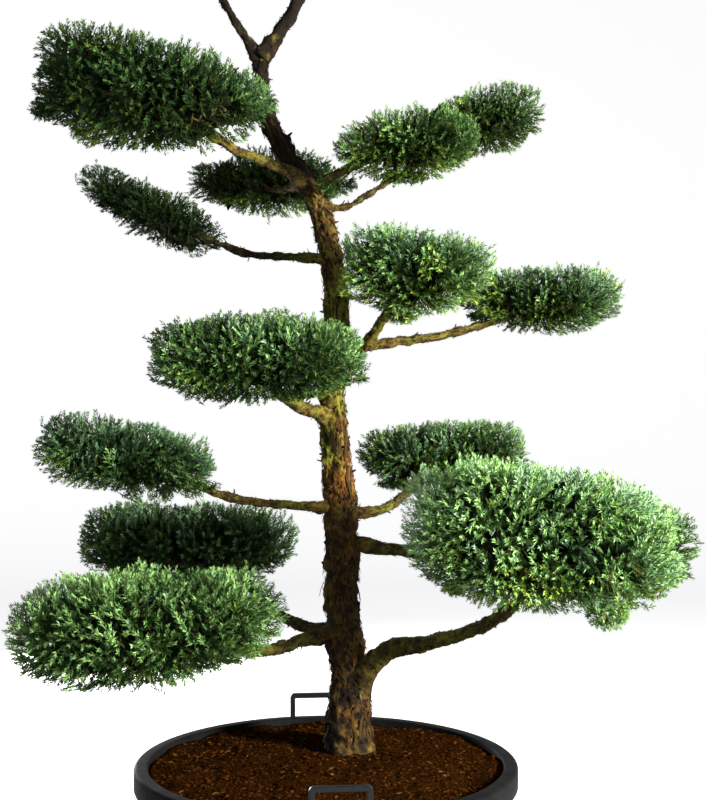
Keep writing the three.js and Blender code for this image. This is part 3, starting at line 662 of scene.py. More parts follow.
def make_camera():
    data = bpy.data.cameras.new("camera")
    data.lens = CAMERA.lens
    camera = bpy.data.objects.new("camera", data)
    camera.location = CAMERA.place
    camera.rotation_euler = (QUARTER + math.radians(CAMERA.pitch), 0, 0)
    bpy.context.scene.collection.objects.link(camera)
    bpy.context.scene.camera = camera


def make_stage():
    """A pale floor that curves up into a round wall far from the plant, with no corner or horizon."""
    flat, bend = STAGE.flat, STAGE.wall - STAGE.flat
    curve = [(flat + bend * math.sin(a), bend * (1 - math.cos(a)))
             for a in np.linspace(0, QUARTER, STAGE.bend_steps)]
    profile = [*((r, 0) for r in STAGE.floor), *curve, (STAGE.wall, STAGE.top)]
    vertices = np.vstack([*rings(profile, STAGE.segments), np.zeros((1, 3))])
    faces = tube_faces(len(profile), STAGE.segments)
    faces = faces[faces.max(axis=1) < len(vertices)]
    material = principled("stage_white", STAGE.colour, "stage_white")
    shader = material.node_tree.nodes["Principled BSDF"]
    shader.inputs["Emission Color"].default_value = (*STAGE.colour, 1)
    shader.inputs["Emission Strength"].default_value = STAGE.glow
    floor = new_object(new_mesh("stage_floor", vertices, faces, [material], smooth=True))
    floor.visible_diffuse = False
    floor.visible_shadow = False


def make_lights():
    for name, light in LIGHTS.items():
        data = bpy.data.lights.new(name, "AREA")
        data.shape = "DISK"
        data.size = light.size
        data.energy = light.watts
        data.color = light.colour
        lamp = bpy.data.objects.new(name, data)
        lamp.location = light.place
        way = Vector(light.aim) - lamp.location
        lamp.rotation_euler = way.to_track_quat("-Z", "Y").to_euler()
        bpy.context.scene.collection.objects.link(lamp)
    world = bpy.data.worlds.new("sky")
    world.use_nodes = True
    sky = world.node_tree.nodes["Background"]
    sky.inputs["Color"].default_value = (*SKY.colour, 1)
    sky.inputs["Strength"].default_value = SKY.strength
    bpy.context.scene.world = world
    bpy.context.scene.view_settings.view_transform = "Standard"


# Limbs

def limb_curve(path, rows):
    """Points and radii at even distances along the frame's centripetal curve through a path's points."""
    knots = np.array(path, float) * MM
    points = knots[:, :3]
    padded = np.vstack([2 * points[0] - points[1], points, 2 * points[-1] - points[-2]])
    gaps = np.sqrt(np.linalg.norm(np.diff(padded, axis=0), axis=1))
    share = np.linspace(0, 1, CURVE_STEPS + 1)[:, None]
    places, radii = [], []
    for i in range(len(points) - 1):
        p0, p1, p2, p3 = padded[i:i + 4]
        d0, d1, d2 = gaps[i:i + 3]
        leave = ((p1 - p0) / d0 - (p2 - p0) / (d0 + d1) + (p2 - p1) / d1) * d1
        arrive = ((p2 - p1) / d1 - (p3 - p1) / (d1 + d2) + (p3 - p2) / d2) * d1
        square = -3 * p1 + 3 * p2 - 2 * leave - arrive
        cube = 2 * p1 - 2 * p2 + leave + arrive
        first = min(i, 1)
        places.append((p1 + share * (leave + share * (square + share * cube)))[first:])
        radii.append((knots[i, 3] + share[:, 0] * (knots[i + 1, 3] - knots[i, 3]))[first:])
    places, radii = np.vstack(places), np.concatenate(radii)
    along = np.concatenate([[0], np.cumsum(np.linalg.norm(np.diff(places, axis=0), axis=1))])
    even = np.linspace(0, along[-1], rows)
    points = np.stack([np.interp(even, along, axis) for axis in places.T], axis=1)
    return points, np.interp(even, along, radii), even


def frames_along(points):
    """Normals and binormals that turn as little as they can, as the frame's limbs have them."""
    tangents = unit(np.gradient(points, axis=0))
    flattest = 2 - int(np.argmin(np.abs(tangents[0])[::-1].round(6)))
    side = unit(np.cross(tangents[0], np.eye(3)[flattest]))
    normals = [np.cross(tangents[0], side)]
    for tangent in tangents[1:]:
        normals.append(unit(normals[-1] - tangent * (normals[-1] @ tangent)))
    normals = np.array(normals)
    return normals, np.cross(tangents, normals)


def limb_length(path):
    points = np.array(path, float)[:, :3]
    return np.linalg.norm(np.diff(points, axis=0), axis=1).sum()


def trunk_vary(share, angle):
    height = share * (TRUNK_PATH[-1][2] - TRUNK_PATH[0][2])
    fade = np.exp(-height / TRUNK.flare_height)
    lobes = 1 + TRUNK.lobe_share * np.cos(TRUNK.flare_lobes * angle)
    slow, fast = TRUNK.waver_turns
    waver = np.sin(TRUNK.waver_sides * angle + slow * share) * np.cos(angle - fast * share)
    return 1 + TRUNK.flare * fade * lobes + TRUNK.waver * waver


def bough_vary(name):
    start = TURN * next(random_stream(seed_of(name)))
    sides, turns = BOUGH.waver_sides, BOUGH.waver_turns
    return lambda share, angle: 1 + BOUGH.waver * np.sin(sides * angle + turns * share + start)


def bark_relief(along, angle, radius, seed, fineness):
    """How high the bark stands, from 0 in a crevice to 1 on a ridge, from fibres that wander up the limb."""
    climb = np.stack([along * BARK.wander_grains, along * 0, along * 0 + seed], axis=1)
    turned_angle = angle + BARK.wander * noise(climb, seed)
    x, y = radius * np.cos(turned_angle), radius * np.sin(turned_angle)

    def field(grain, layer):
        wide, long = (size * fineness * MM for size in grain)
        return noise(np.stack([x / wide + seed, y / wide, along / long], axis=1), seed + layer)

    fibres = 1 - np.abs(field(BARK.coarse, 1)) * 2
    threads = 1 - np.abs(field(BARK.fine, 2)) * 2
    plates = smoothstep(-BARK.plate_edge, BARK.plate_edge, field(BARK.plates, 3))
    return np.clip(BARK.middle + BARK.fibre_share * fibres + BARK.thread_share * threads
                   + BARK.plate_share * (plates - 0.5), 0, 1)


def limb_surface(name, path, size, vary):
    """A bough or the trunk with its bark's relief, as what places each point of its skin."""
    rows, around = int(limb_length(path) / size.row) + 2, size.around
    points, radii, along = limb_curve(path, rows)
    normals, binormals = frames_along(points)
    angle = np.tile(even_angles(around), rows)
    spot = np.repeat(np.arange(rows), around)
    seed = seed_of(name) % NOISE_SEEDS
    relief = bark_relief(along[spot], angle, radii[spot], seed, size.fineness)
    outward = normals[spot] * np.cos(angle)[:, None] - binormals[spot] * np.sin(angle)[:, None]
    skin = points[spot] + outward * radii[spot][:, None]
    knobs = size.knob * noise(skin / (BARK.knob_grain * MM), seed + 4)
    raised = MM * (size.relief * (relief - BARK.proud) + knobs)
    return Table(points=points, spot=spot, along=along[spot], left=(along[-1] - along)[spot], outward=outward,
                 radius=radii[spot] * vary(spot / (rows - 1), angle) + raised, relief=relief, rows=rows,
                 around=around)


def growth(vertices, amounts):
    """What grows at each vertex, and the painted shade there, in patches, from the amount of each kind that
    the limb has there.
    """
    patches = vertices / (GROWTH_PATCH * MM)
    rough = GROWTH_GRAIN.share * noise(vertices / (GROWTH_GRAIN.size * MM), GROWTH_GRAIN.seed)
    return {kind: np.clip(amounts[kind] * (base + patch * noise(patches, seed) + fine * rough), 0, 1)
            for kind, (base, patch, seed, fine) in GROWTH.items()}


def trunk_growth(vertices):
    height = vertices[:, 2]
    zones = {name: smoothstep(*begin, height) * (1 - smoothstep(*end, height))
             for name, (begin, end) in ZONES.items()}
    amounts = {kind: sum(share * zones[zone] for zone, share in shares.items())
               for kind, shares in TRUNK_GROWTH.items()}
    return growth(vertices, amounts)


def bough_growth(vertices, upward, shade, near):
    """What grows on a bough, and its painted shade, which near the trunk are those of the trunk there."""
    moss = BOUGH_GROWTH.moss + BOUGH_GROWTH.moss_above * upward
    amounts = {**vars(BOUGH_GROWTH), "moss": moss, "shade": shade}
    trunk = trunk_growth(vertices)
    return {kind: field + (trunk[kind] - field) * near for kind, field in growth(vertices, amounts).items()}


def finish_limb(node, surface, material, growth_of):
    """Makes the piece that stands for a limb's node, with what its material reads at each vertex."""
    points = surface.points
    skin = points[surface.spot] + surface.outward * surface.radius[:, None]
    vertices = np.vstack([skin, points[0], points[-1]])
    faces = tube_faces(surface.rows, surface.around)[:, ::-1]
    mesh = new_mesh(f"{node}_bark", vertices, faces, [material], smooth=True)
    surface.growth = growth_of(vertices)
    give_attribute(mesh, "relief", np.append(surface.relief, [0.5, 0.5]))
    for kind, field in surface.growth.items():
        give_attribute(mesh, kind, field)
    declare(new_object(mesh), "bark", node)
    return surface


def make_trunk(material):
    """The trunk, whose last stretch closes in a dome."""
    surface = limb_surface("trunk", TRUNK_PATH, TRUNK_BARK, trunk_vary)
    reach = np.clip(surface.left / (BARK.end_round * MM), 0, 1)
    surface.radius *= np.sqrt(np.clip(1 - (1 - reach) ** 2, BARK.end_least, 1))
    return finish_limb("trunk", surface, material, trunk_growth)


def make_bough(name, path, material):
    """A bough, which widens in a collar where it leaves the trunk."""
    surface = limb_surface(name, path, BOUGH_BARK, bough_vary(name))
    trunk = np.array(TRUNK_PATH, float) * MM
    past = np.clip(surface.along - np.interp(surface.points[0][2], trunk[:, 2], trunk[:, 3]), 0, None)
    surface.radius *= 1 + BARK.collar * np.exp(-past / (BARK.collar_fade * MM))
    upward = smoothstep(*BOUGH_GROWTH.above, np.append(surface.outward[:, 2], [0, 0]))
    near = np.append(np.exp(-past / (BARK.blend * MM)), [1, 0])
    # Painted shade on the bough, more on those that masses shadow
    shade = BOUGH_DARK_AND_PAINTED_SHADE.get(name, BOUGH_GROWTH.shade)
    return finish_limb(f"bough_{name}", surface, material,
                       lambda vertices: bough_growth(vertices, upward, shade, near))


# Bars and blades: straight tapering sticks and thin folded leaves, many at a time

SLIVER_FACES = np.array([[0, 2, 1], [0, 1, 3], [0, 3, 2], [1, 2, 3]])
KITE_FACES = SLIVER_FACES[:2]
UPRIGHT = 0.9


def crosswise(along):
    """Two directions at right angles to each of the given ones."""
    helper = np.where(np.abs(along[:, 2:]) < UPRIGHT, UP, ALONG)
    side = unit(np.cross(along, helper))
    return side, np.cross(along, side)


def bars(starts, ends, start_radii, end_radii, sides):
    """Closed tapering sticks from each start to each end, as one set of vertices and triangles."""
    side, other = crosswise(unit(ends - starts))
    angles = even_angles(sides)
    ring = side[:, None] * np.cos(angles)[None, :, None] + other[:, None] * np.sin(angles)[None, :, None]
    low = starts[:, None] + ring * np.reshape(start_radii, (-1, 1, 1))
    high = ends[:, None] + ring * np.reshape(end_radii, (-1, 1, 1))
    points = np.concatenate([low, high, starts[:, None], ends[:, None]], axis=1)
    return repeated(points, tube_faces(2, sides))


def blades(roots, tips, sides, widths):
    """Four points a blade: its root, its tip, and two at its widest, which a fold lifts a little."""
    length = np.linalg.norm(tips - roots, axis=-1, keepdims=True)
    fold = np.cross(tips - roots, sides) / length * LEAVES.fold
    waist = roots + (tips - roots) * LEAVES.waist
    half = np.reshape(widths, (-1, 1)) / 2
    return np.stack([roots, tips, waist + (sides + fold) * half, waist + (fold - sides) * half], axis=-2)


# Spurs, flakes and peeling strips on the limbs

def pick(surface, random, count, span=(0, 1)):
    """Random spots of a limb's surface, between two shares of its length."""
    low, high = span
    rows, around = surface.rows, surface.around
    row = (rows * (low + (high - low) * random.random(count))).astype(int).clip(1, rows - 2)
    return row, random.integers(0, around, count)


def surface_point(surface, row, column, lift):
    """Points of a limb's surface, lifted off it, and the ways outward and onward there."""
    index = row * surface.around + column % surface.around
    outward = surface.outward[index]
    reach = surface.radius[index] + lift
    onward = unit(surface.points[row + 1] - surface.points[row - 1])
    return surface.points[row] + outward * np.reshape(reach, (-1, 1)), outward, onward


def spurs(surface, count, random, span, slim):
    """Stumps of pruned twigs."""
    row, column = pick(surface, random, count, span)
    foot, outward, onward = surface_point(surface, row, column, -SPURS.sunk * MM)
    shake = shaken(random, SPURS.shake, (count, 3))
    way = unit(outward + onward * random.uniform(0, SPURS.onward, (count, 1)) + shake)
    length = random.uniform(*SPURS.length, count) * random.random(count) ** SPURS.shorter * MM
    radius = random.uniform(*SPURS.radius, count) * MM * slim
    return bars(foot, foot + way * length[:, None], radius, radius * SPURS.taper, SPURS.sides)


def strips(surface, random):
    """Ribbons of bark that peel from the trunk at one end."""
    count, stations = STRIPS.count, STRIPS.stations
    row, column = pick(surface, random, count, STRIPS.span)
    length = random.uniform(*STRIPS.length, count) / TRUNK_BARK.row
    width = random.uniform(*STRIPS.width, count) * MM
    lift = random.uniform(*STRIPS.lift, count) * random.random(count) ** STRIPS.flatter * MM
    peels_up = random.random(count) < STRIPS.up_share
    drift = random.uniform(-1, 1, count) * STRIPS.drift
    narrow, (swell_from, swell) = STRIPS.end_width, STRIPS.swell
    points = []
    for share in np.linspace(0, 1, stations):
        at = np.clip(row + length * (share - 0.5), 1, surface.rows - 2).astype(int)
        off = np.where(peels_up, share, 1 - share) ** STRIPS.curl * lift + STRIPS.off * MM
        spot = (column + drift * length * (share - 0.5)).astype(int)
        centre, outward, onward = surface_point(surface, at, spot, off)
        wide = narrow + (1 - narrow) * math.sin(math.pi * (swell_from + swell * share))
        half = np.cross(outward, onward) * (width * wide / 2)[:, None]
        thick = outward * STRIPS.thick * MM
        points += [centre - half, centre + half, centre + half + thick, centre - half + thick]
    points += [sum(points[:4]) / 4, sum(points[-4:]) / 4]
    vertices, faces = repeated(np.stack(points, axis=1), tube_faces(stations, 4)[:, ::-1])
    return vertices, faces, np.repeat(random.choice(STRIPS.colours, count), len(faces) // count)


def flakes(surface, count, random, slim):
    """Scales of bark, each held at its root, with its tip lifted off the limb."""
    row, column = pick(surface, random, count)
    foot, outward, onward = surface_point(surface, row, column, -FLAKES.sunk * MM)
    upward = np.where(random.random((count, 1)) < FLAKES.up_share, 1, -1)
    splay = np.cross(outward, onward) * random.normal(0, FLAKES.splay, (count, 1))
    way = unit(onward * upward + splay)
    length = random.uniform(*FLAKES.length, (count, 1)) * MM * slim
    lift = random.uniform(*FLAKES.lift, (count, 1)) * random.random((count, 1)) * MM * slim
    width = random.uniform(*FLAKES.width, count) * MM * slim
    tips = foot + way * length + outward * lift
    sides = unit(np.cross(outward, tips - foot))
    vertices, faces = repeated(blades(foot, tips, sides, width), SLIVER_FACES)
    return vertices, faces, flake_colours(surface, row * surface.around + column, random)


def flake_colours(surface, index, random):
    """The number of each flake's plain brown, after what grows where its root is, and dark brown where
    painted shade lies at its root.
    """
    kinds = list(BARK_BROWNS)
    chance = random.random((4, len(index)))
    colour = np.where(chance[0] < FLAKE_CHANCES.dark, kinds.index("dark"), kinds.index("brown"))
    colour = np.where(chance[0] > FLAKE_CHANCES.gold, kinds.index("gold"), colour)
    for (kind, share), draw in zip(FLAKE_GROWN.items(), chance[1:]):
        colour = np.where(draw < share * surface.growth[kind][index], kinds.index(kind), colour)
    # Painted shade: flakes where it lies are dark brown
    shaded = random.random(len(index)) < surface.growth["shade"][index]
    return np.repeat(np.where(shaded, kinds.index("dark"), colour), len(SLIVER_FACES))


def make_bark_scraps(limbs):
    random = np.random.default_rng(SEEDS.bark)
    browns = [principled(f"bark_{kind}", colour, "bark_scrap") for kind, colour in BARK_BROWNS.items()]
    trunk = limbs["trunk"]
    stumps = [(*spurs(trunk, SPURS.trunk, random, SPURS.trunk_span, 1), 0)]
    scales = [flakes(trunk, FLAKES.trunk, random, 1)]
    for name, path in BOUGHS.items():
        metres = limb_length(path) * MM
        count = int(metres * SPURS.per_metre)
        stumps.append((*spurs(limbs[name], count, random, SPURS.bough_span, SPURS.slim), 1))
        scales.append(flakes(limbs[name], int(metres * FLAKES.per_metre), random, FLAKES.slim))
    joined_piece("bark_spurs", stumps, browns, "bark")
    joined_piece("bark_flakes", scales, browns, "bark")
    joined_piece("bark_strips", [strips(trunk, random)], browns, "bark")


# Foliage: the frame's rule for a mass

def tilted(mass, points):
    lean = math.radians(mass.tilt)
    x, y, z = points.T
    return np.stack([x * math.cos(lean) - z * math.sin(lean), y, x * math.sin(lean) + z * math.cos(lean)],
                    axis=1)


def rounded_length(a, b, power):
    """The length of (a, b) where a circle is a rounded square: an exponent of 2 gives the true length."""
    return (np.abs(a) ** power + np.abs(b) ** power) ** (1 / power)


def mass_points(mass, directions, inset):
    """Points of a mass in directions from its centre, pulled in by a share of the sprays' reach."""
    x, y, z = directions.T
    plan = rounded_length(x, y, MASS.squareness)
    norm = rounded_length(plan, z, np.where(z > 0, MASS.squareness, MASS.squareness_below))
    turn_x, turn_y, turn_z = MASS.lump_turns
    first, second = mass.lump_start
    lump = 1 + MASS.lump * np.sin(turn_x * x + turn_z * z + first) * np.cos(turn_y * y - second)
    half_x, half_y = mass.half
    rise = mass.rise - MASS.reach_up * inset
    height = np.where(z > 0, rise, mass.drop - MASS.reach_down * inset)
    stretched = [(half_x - MASS.reach * inset) * x, (half_y - MASS.reach * inset) * y,
                 height * (1 - mass.taper * x) * z]
    points = np.stack(stretched, axis=1) * (lump / norm)[:, None]
    return (tilted(mass, points) + mass.centre) * MM


def mass_normals(mass, directions):
    x, y, z = directions.T
    height = np.where(z > 0, mass.rise, mass.drop)
    return unit(tilted(mass, np.stack([x / mass.half[0], y / mass.half[1], z / height], axis=1)))


def spray_count(mass):
    """The frame's number of sprays, from about how much surface a flattened mass has."""
    long, wide = mass.half
    faces = TURN * long * wide
    band = TURN * math.hypot(long, wide) * math.sqrt(0.5) * (mass.rise + mass.drop)
    square_metres = SPRAY.corner_share * (faces + band) * MM * MM
    return round(SPRAY.few + SPRAY.per_square_metre * square_metres)


def spread_directions(count, stream):
    """Evenly spread directions, each shaken a little."""
    start = next(stream) * TURN
    i = np.arange(count)
    z = 1 - (2 * i + 1) / count
    ring = np.sqrt(1 - z * z)
    angle = start + GOLDEN * i + SPRAY.direction_shake * (draws(stream, count) - 0.5)
    return np.stack([ring * np.cos(angle), ring * np.sin(angle), z], axis=1)


def main_twigs(mass, path, stream):
    """The stem that carries on from the bough's tip, and the frame's five twigs and heart twig, as bars."""
    points, _, _ = limb_curve(path, TIP_ROWS)
    along = unit(points[-1] - points[-2])
    radius = path[-1][3] * MM
    foot = points[-1] + along * CLEARANCE * MM
    fork = foot + along * STEM.length * MM
    thin, end = radius * STEM.twig_share, radius * STEM.end_share
    sticks = [(foot, fork, radius, thin), (fork, np.array(mass.centre) * MM, thin, end)]
    start = next(stream) * TURN
    for i in range(STEM.twigs):
        angle = start + i * TURN / STEM.twigs
        direction = unit(np.array([[math.cos(angle), math.sin(angle), -STEM.droop * next(stream)]]))
        share = STEM.leave + (1 - STEM.leave) * next(stream)
        tip = mass_points(mass, direction, STEM.inset)[0]
        sticks.append((foot + (fork - foot) * share, tip, thin, end))
    return sticks


# Foliage: the finer sprays

def spray_prototype(random, layer):
    """One spray of unit length along +X: an axis with folded leaves that lean on towards its tip, and how
    much paler or darker each face is than the spray. Its last two blades are the axis and its leader."""
    count = layer.leaves
    blades_in_all = count + 2
    column = (blades_in_all, 1)
    share = np.append(np.linspace(1 / count, 1, count) ** LEAVES.crowd, [0, 1])[:, None]
    bow = random.uniform(-1, 1, 2) * LEAVES.bow
    foot = np.where(share > 0, LEAVES.first + (1 - LEAVES.first) * share, 0)
    roots = np.hstack([foot * (1 - LEAVES.leader), bow[0] * foot ** 2, bow[1] * foot ** 2])
    wide, narrow = LEAVES.lean
    lean = wide + (narrow - wide) * share
    lean = lean + shaken(random, LEAVES.lean_shake, column)
    spin = random.uniform(0, TURN) + GOLDEN * np.arange(blades_in_all)[:, None]
    spin = spin + shaken(random, LEAVES.spin_shake, column)
    out = np.hstack([np.zeros(column), np.cos(spin), LEAVES.flat * np.sin(spin)])
    ways = unit(np.cos(lean) * ALONG + np.sin(lean) * out)
    ways[-2:] = unit(np.array([ALONG, [1, 2 * bow[0], 2 * bow[1]]]))
    long, short = layer.leaf
    length = (long + (short - long) * share) * random.uniform(*LEAVES.length, column)
    length[-2:, 0] = 1 - LEAVES.leader, LEAVES.leader
    width = layer.width * random.uniform(*LEAVES.width, blades_in_all)
    sides = unit(np.cross(ways, random.normal(size=(blades_in_all, 3))))
    points, faces = repeated(blades(roots, roots + ways * length, sides, width), KITE_FACES)
    base, tip = LEAVES.tone
    shake = shaken(random, LEAVES.tone_shake, blades_in_all)
    return points, faces, np.repeat(base + tip * share[:, 0] + shake, len(KITE_FACES))


def spaced(points, spacing, order):
    """The points, taken in an order, that keep the spacing from all those taken before."""
    cells = np.floor(points / spacing).astype(int)
    taken = {}
    kept = []
    around = list(itertools.product((-1, 0, 1), repeat=3))
    for i in order:
        x, y, z = cells[i]
        near = [j for a, b, c in around for j in taken.get((x + a, y + b, z + c), ())]
        if not near or np.min(((points[near] - points[i]) ** 2).sum(axis=1)) >= spacing * spacing:
            taken.setdefault((x, y, z), []).append(i)
            kept.append(i)
    return np.array(kept)


def clear_of_limbs(roots, tips, limb_spots):
    """Which stretches keep their gap to every limb."""
    centres, radii = limb_spots
    gap = np.full(len(roots), np.inf)
    for share in (0, 0.5, 1):
        places = roots + (tips - roots) * share
        apart = np.linalg.norm(places[:, None] - centres[None], axis=2) - radii
        gap = np.minimum(gap, apart.min(axis=1))
    return gap > PLUME.limb_gap * MM


def sunk(points):
    """How far the outline sinks at each point, as a share of the sprays' reach: in lobes and in hollows."""
    depth = PLUME.sink * np.ones(len(points))
    for seed, share, grain in PLUME.hollows:
        depth += share * noise(points / (grain * MM), seed)
    return np.maximum(depth, 0)


def spray_ways(mass, directions, tips, tuft_of, tufts, layer, random):
    """Which way each spray points: out from its tuft, up, and the way the surface faces, all sprays of a
    tuft leaning alike, and outward where they hang under the mass."""
    count = len(tips)
    shake = random.uniform(-0.5, 0.5, (count, 3)) * PLUME.shake
    lean = random.normal(0, PLUME.tuft_lean, (len(tufts), 3))[tuft_of]
    ways = unit(tips - tufts[tuft_of]) + UP * random.uniform(*layer.rise, (count, 1))
    facing = mass_normals(mass, directions) * SPRAY.facing
    ways = unit(ways + facing + (shake + lean) * layer.loose)
    under = smoothstep(*PLUME.under_from, -directions[:, 2])[:, None]
    outward = unit((tips / MM - mass.centre) * (1 - UP))
    level, lowest, highest = PLUME.under
    ways = unit(ways + under * (outward * level + UP * random.uniform(lowest, highest, (count, 1))))
    across = unit(np.cross(ways, UP))
    roll = SPRAY.roll * (random.random(count) - 0.5)[:, None]
    return ways, across * np.cos(roll) + np.cross(ways, across) * np.sin(roll)


def grow_twigs(sticks, tufts):
    """Twigs from the main ones to each tuft: each springs from the nearest wood that already stands."""
    starts = np.array([stick[0] for stick in sticks])
    ends = np.array([stick[1] for stick in sticks])
    shares = np.linspace(*TUFT.wood)[:, None, None]
    wood = (starts + shares * (ends - starts)).reshape(-1, 3)
    made = []
    for tuft in tufts[np.argsort(np.linalg.norm(tufts - sticks[0][1], axis=1))]:
        nearest = wood[np.argmin(np.linalg.norm(wood - tuft, axis=1))]
        bend = TUFT.bend * MM * min(1, np.linalg.norm(tuft - nearest) / (TUFT.full_bend * MM))
        middle = (nearest + tuft) / 2 + UP * bend
        made += [(nearest, middle), (middle, tuft)]
        wood = np.vstack([wood, middle, tuft])
    return made


def family_colours():
    """Every family's tones in turn, as plain colours."""
    share = np.linspace(0, 1, TONES.count)[:, None]
    light = TONES.darkest * TONES.step ** np.arange(TONES.count)[:, None]
    return np.vstack([light * (np.array(dark) * (1 - share) + np.array(pale) * share)
                      for dark, pale in FAMILIES.values()])


def missing_share(mass, directions, tips, near):
    """The share of the sprays that are missing: under the mass where the bough enters, and at a window."""
    thin = PLUME.foot_thin * near * smoothstep(*PLUME.foot_under, directions[:, 2])
    if mass.name not in WINDOWS:
        return thin
    centre, half, share = WINDOWS[mass.name]
    apart = np.linalg.norm((tips / MM - centre) / half, axis=1)
    return np.maximum(thin, share * smoothstep(*WINDOW_EDGE, apart))


def tones_of(mass, directions, depth, near, tuft_of, random):
    """How pale each spray is and its family of greens: much alike within a tuft, paler on top as painted
    light, darker underneath and in the hollows as painted shade, and yellower underneath and near the bough."""
    count = len(directions)
    tufts = tuft_of.max() + 1
    height = smoothstep(*TONE.top_from, directions[:, 2])
    under = smoothstep(*TONE.under_from, directions[:, 2])
    # Painted light makes the upper sprays paler and painted shade the lower ones darker; the mass's own
    # paleness partly paints the light and shade it gets
    tone = TONE.middle + TONE.pale * mass.pale + TONE.top * height - TONE.under * under
    # Painted shade in the hollows
    tone -= TONE.hollow * (depth - PLUME.sink)
    tuft_shake = shaken(random, TONE.tuft_shake, tufts)[tuft_of]
    tone += tuft_shake + shaken(random, TONE.shake, count)
    alike = TONE.tuft_chance
    chance = alike * random.random(tufts)[tuft_of] + (1 - alike) * random.random(count)
    anywhere, below, at_foot = TONE.yellow
    yellow = chance < mass.yellow * (anywhere + below * under + at_foot * near)
    blue = chance > 1 - mass.blue * (TONE.blue + height)
    return tone, np.select([yellow, blue], [1, 2], 0)


def sprays(prototypes, random, clear, *each):
    """Copies of the prototypes where it is clear, as parts to join: a colour's number goes with each face."""
    roots, ways, sides, sizes, tones, families = (values[clear] for values in each)
    chosen = random.integers(0, len(prototypes), len(roots))
    basis = np.stack([ways, sides, np.cross(ways, sides)], axis=1)
    parts = []
    for i, (points, faces, paler) in enumerate(prototypes):
        mine = chosen == i
        if mine.any():
            copies = roots[mine][:, None] + sizes[mine][:, None, None] * (points @ basis[mine])
            tone = np.clip(np.round(tones[mine, None] + paler[None]), 0, TONES.count - 1)
            numbers = (tone + families[mine, None] * TONES.count).ravel().astype(int)
            parts.append((*repeated(copies, faces), numbers))
    return parts


def make_layer(mass, layer, prototypes, directions, tufts, limb_spots, random):
    """One layer of a mass's sprays, as parts to join, with the places where its shoots start and end."""
    fit = math.sqrt(min(1.0, (mass.rise + mass.drop) / PLUME.full_height))
    order = random.permutation(len(directions))
    aims = directions[spaced(mass_points(mass, directions, 0), layer.spacing * fit * MM, order)]
    count = len(aims)
    depth = sunk(mass_points(mass, aims, 0))
    tips = mass_points(mass, aims, random.uniform(*layer.inset, count) + depth)
    tuft_of = np.argmin(np.linalg.norm(tips[:, None] - tufts[None], axis=2), axis=1)
    ways, sides = spray_ways(mass, aims, tips, tuft_of, tufts, layer, random)
    sizes = random.uniform(*layer.length, count) * fit * MM
    if layer.tone == 0:
        stray = random.random(count) < PLUME.stray
        tips = tips + ways * (stray * PLUME.stray_reach * random.random(count) * MM)[:, None]
    roots = tips - ways * sizes[:, None]
    apart = np.linalg.norm(tips - mass.foot, axis=1) / (PLUME.foot_reach * MM)
    near = np.exp(-apart ** 2)
    clear = clear_of_limbs(roots, tips, limb_spots)
    clear &= random.random(count) > missing_share(mass, aims, tips, near)
    tones, families = tones_of(mass, aims, depth, near, tuft_of, random)
    parts = sprays(prototypes, random, clear, roots, ways, sides, sizes, tones + layer.tone, families)
    return parts, tufts[tuft_of][clear], roots[clear]


def make_sprig(mass, sprig, prototypes, limb_spots, random):
    """A small tuft of sprays that leave one point all round, as parts to join, with that point and their
    roots."""
    centre, half, yellow = sprig
    centre, half = np.array(centre) * MM, np.array(half) * MM
    count = int(2 * TURN * (half.prod() ** (2 / 3)) / (TWIGLETS.spacing * MM) ** 2)
    directions = spread_directions(count, iter(random.random(count + 1)))
    tips = centre + directions * half
    ways = unit(directions + random.uniform(-1, 1, (count, 3)) * TWIGLETS.shake)
    sides = unit(np.cross(ways, random.normal(size=(count, 3))))
    sizes = random.uniform(*TWIGLETS.length, count) * MM
    roots = tips - ways * sizes[:, None]
    clear = clear_of_limbs(roots, tips, limb_spots)
    shake = shaken(random, TWIGLETS.tone_shake, count)
    # The mass's paleness partly paints the light and shade it gets
    tones = TWIGLETS.tone + TONE.pale * mass.pale + shake
    families = np.where(random.random(count) < yellow, 1, 0)
    parts = sprays(prototypes, random, clear, roots, ways, sides, sizes, tones, families)
    return parts, np.broadcast_to(centre, (clear.sum(), 3)), roots[clear]


def make_mass(name, prototypes, limb_spots, greens):
    """A mass's foliage, with its main twigs, its finer twigs and the ends of its shoots."""
    fields = ("centre", "half", "rise", "drop", "tilt", "taper", "pale", "yellow", "blue")
    stream = random_stream(seed_of(name))
    mass = Table(name=name, **dict(zip(fields, MASSES[name])), lump_start=draws(stream, 2) * TURN,
                 foot=np.array(BOUGHS[name][-1][:3]) * MM)
    draws(stream, MASS.core_points)  # the frame's core takes one number for each of its points
    sticks = main_twigs(mass, BOUGHS[name], stream)
    directions = spread_directions(PLUME.finer * spray_count(mass), stream)
    random = np.random.default_rng(seed_of(name))
    order = random.permutation(len(directions))
    tuft_aims = directions[spaced(mass_points(mass, directions, 0), TUFT.spacing * MM, order)]
    tufts = mass_points(mass, tuft_aims, random.uniform(*TUFT.inset, len(tuft_aims)))
    parts, shoots = [], []
    for kind, layer in LAYERS.items():
        made, *ends = make_layer(mass, layer, prototypes[kind], directions, tufts, limb_spots, random)
        parts += made
        if kind != "heart":
            shoots.append(ends)
    for sprig in SPRIGS.get(name, ()):
        made, *ends = make_sprig(mass, sprig, prototypes["plume"], limb_spots, random)
        parts += made
        shoots.append(ends)
        tufts = np.vstack([tufts, ends[0][:1]])
    joined_piece(f"foliage_{name}", parts, greens, "foliage", f"mass_{name}")
    return sticks, grow_twigs(sticks, tufts), shoots


